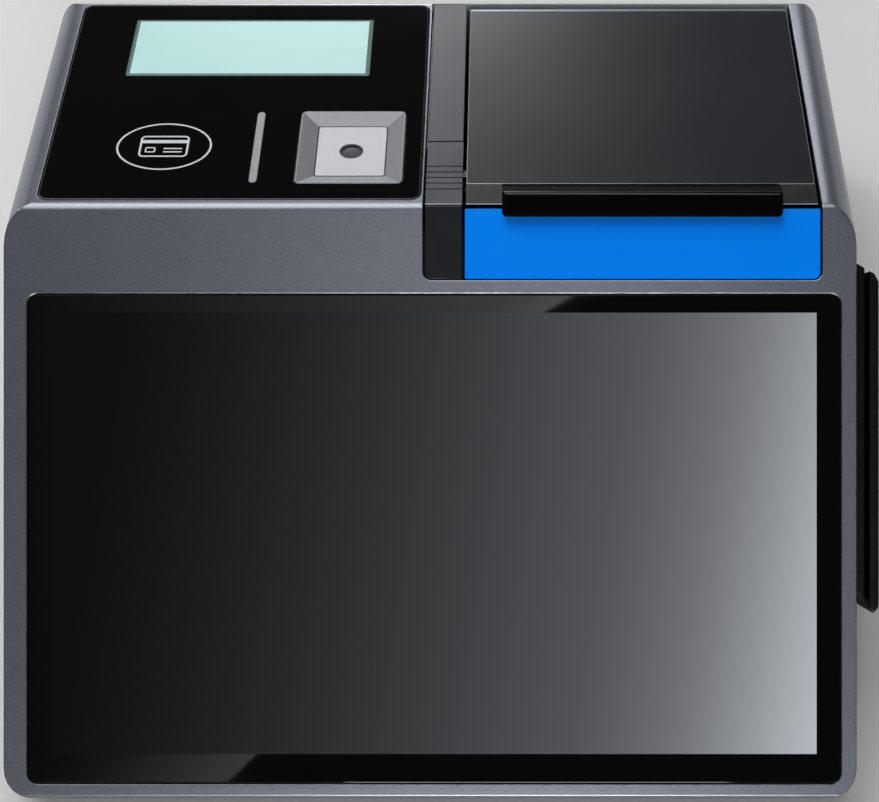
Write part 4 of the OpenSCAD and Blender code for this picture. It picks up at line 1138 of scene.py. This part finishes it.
class TERMINAL_OT_release(Piece, bpy.types.Operator):
    """Ribbed release button, its spring and the latch"""

    bl_idname = "terminal.release"
    bl_label = "Lid release"

    def button(self):
        """The ribbed button, its grooves part filled and its front edge round."""
        button = copied("release_button")
        width, middle = across("release_button")
        filling = block("filling", (width - 0.02, 14.0, 0.6), (middle, 14.5, -0.55))
        filling.data.transform(deck_frame())
        carve(button, filling, "UNION")
        to_deck = deck_frame().inverted()
        bevelled(button, 0.5, 4, lambda a, b: all(
            (to_deck @ end).y < 0.6 * MM and (to_deck @ end).z > -0.1 * MM for end in (a, b)))
        button.data.materials.append(strip_abs())
        round_edges(button, 0.07)
        # A painted highlight on its front edge.
        glint(button)
        stand_in(button, None, "release_button")

    def execute(self, context):
        self.button()
        out = deck_frame().to_3x3().col[2].copy()
        spring("release_spring")
        paint(black_oxide(), "latch_pin")
        dress("latch_hook", zinc_sheet(), edge=0.12)
        return {"FINISHED"}


class TERMINAL_OT_ports(Piece, bpy.types.Operator):
    """Rear panel and its sockets with their contacts"""

    bl_idname = "terminal.ports"
    bl_label = "Rear sockets"

    def contacts(self, name, node, count, lift, sink):
        """A row of spring contacts inside a socket, as long as they are sunk into it."""
        low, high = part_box(node)
        pitch = 1.02
        strip = block(name, (0.4, sink, 0.35), (0.0, 0.0, 0.0), 0.08)
        shaped(strip, "ARRAY", count=count, use_relative_offset=False, use_constant_offset=True,
               constant_offset_displace=(pitch * MM, 0.0, 0.0))
        start = (low.x + high.x) / 2 - (count - 1) * pitch * MM / 2
        strip.data.transform(Matrix.Translation((start, high.y - sink * MM, low.z + lift * MM)))
        attach(strip, gold_contacts(), "housing")

    def power_pin(self):
        """The brass pin of the power inlet, with a rounded tip."""
        low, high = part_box("dc_jack")
        reach = 9.0
        pin = drum("power_pin", 1.05, reach, 0.0, 24)
        bevelled(pin, 0.6, 4, lambda a, b: min(a.z, b.z) > (reach - 0.1) * MM)
        smooth(pin, 40.0)
        turn = Matrix.Rotation(math.radians(-90), 4, "X")
        middle = Vector(((low.x + high.x) / 2, high.y - 10.2 * MM, low.z + 6.0 * MM))
        attach(pin, turned_brass(), "housing", place=Matrix.Translation(middle) @ turn)

    def execute(self, context):
        dress("port_panel", base_abs(), edge=0.25)
        dress("dc_jack", reader_abs(), edge=0.25)
        dress("lan_port", tinned_shell())
        dress("usb_ports", tinned_shell(), edge=0.15)
        dress("drawer_port", reader_abs(), edge=0.25)
        self.contacts("network_contacts", "lan_port", 8, lift=10.2, sink=9.0)
        self.contacts("drawer_contacts", "drawer_port", 6, lift=8.9, sink=8.0)
        self.power_pin()
        return {"FINISHED"}


class TERMINAL_OT_electronics(Piece, bpy.types.Operator):
    """Main board, heat sink, speaker and switch board inside the base"""

    bl_idname = "terminal.electronics"
    bl_label = "Electronics"

    def execute(self, context):
        paint(board_resin(), "main_board", "power_switch")
        paint(bright_steel(), "board_screws")
        paint(extruded_aluminium(), "heat_sink")
        paint(reader_abs(), "speaker")
        return {"FINISHED"}


class TERMINAL_OT_power(Piece, bpy.types.Operator):
    """Round power button in the left wall"""

    bl_idname = "terminal.power"
    bl_label = "Power button"

    def execute(self, context):
        button = copied("power_button")
        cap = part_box("power_button")[0].x + 0.01 * MM
        pick(button, "FACE", lambda middle, normal: normal.x < -0.9 and middle.x < cap)
        bpy.ops.mesh.dissolve_faces()
        insets((0.5, 0.0), (0.5, -0.3), (0.4, 0.3))
        fresh()
        smooth(button)
        stand_in(button, silver_paint(), "power_button")
        return {"FINISHED"}


class TERMINAL_OT_card_reader(Piece, bpy.types.Operator):
    """Card reader housing, outer rail and magnetic head"""

    bl_idname = "terminal.card_reader"
    bl_label = "Card reader"

    def execute(self, context):
        dress("reader_housing", reader_abs(), edge=0.6, steps=3)
        dress("reader_rail", reader_abs(), edge=0.8, steps=3)
        dress("magnetic_head", extruded_aluminium(), edge=0.1)
        paint(bright_steel(), "reader_screws")
        return {"FINISHED"}


OPERATORS = tuple(Piece.__subclasses__())  # in the order in which they are written


class TERMINAL_PT_sidebar(bpy.types.Panel):
    """Sizes, colours and steps of the terminal"""

    bl_idname = "TERMINAL_PT_sidebar"
    bl_label = "Point of sale terminal"
    bl_space_type = "VIEW_3D"
    bl_region_type = "UI"
    bl_category = "Terminal"

    def draw(self, context):
        for group in (context.scene.terminal_sizes, context.scene.terminal_colours):
            box = self.layout.box()
            for name in group.__annotations__:
                box.prop(group, name)
        for step in OPERATORS:
            self.layout.operator(step.bl_idname)


CLASSES = (TerminalSizes, TerminalColours, *OPERATORS, TERMINAL_PT_sidebar)


def register():
    for item in CLASSES:
        bpy.utils.register_class(item)
    bpy.types.Scene.terminal_sizes = bpy.props.PointerProperty(type=TerminalSizes)
    bpy.types.Scene.terminal_colours = bpy.props.PointerProperty(type=TerminalColours)


def unregister():
    del bpy.types.Scene.terminal_colours
    del bpy.types.Scene.terminal_sizes
    for item in reversed(CLASSES):
        bpy.utils.unregister_class(item)


def main():
    register()
    for step in OPERATORS:
        group, name = step.bl_idname.split(".")
        getattr(getattr(bpy.ops, group), name)()


if __name__ == "__main__":
    main()
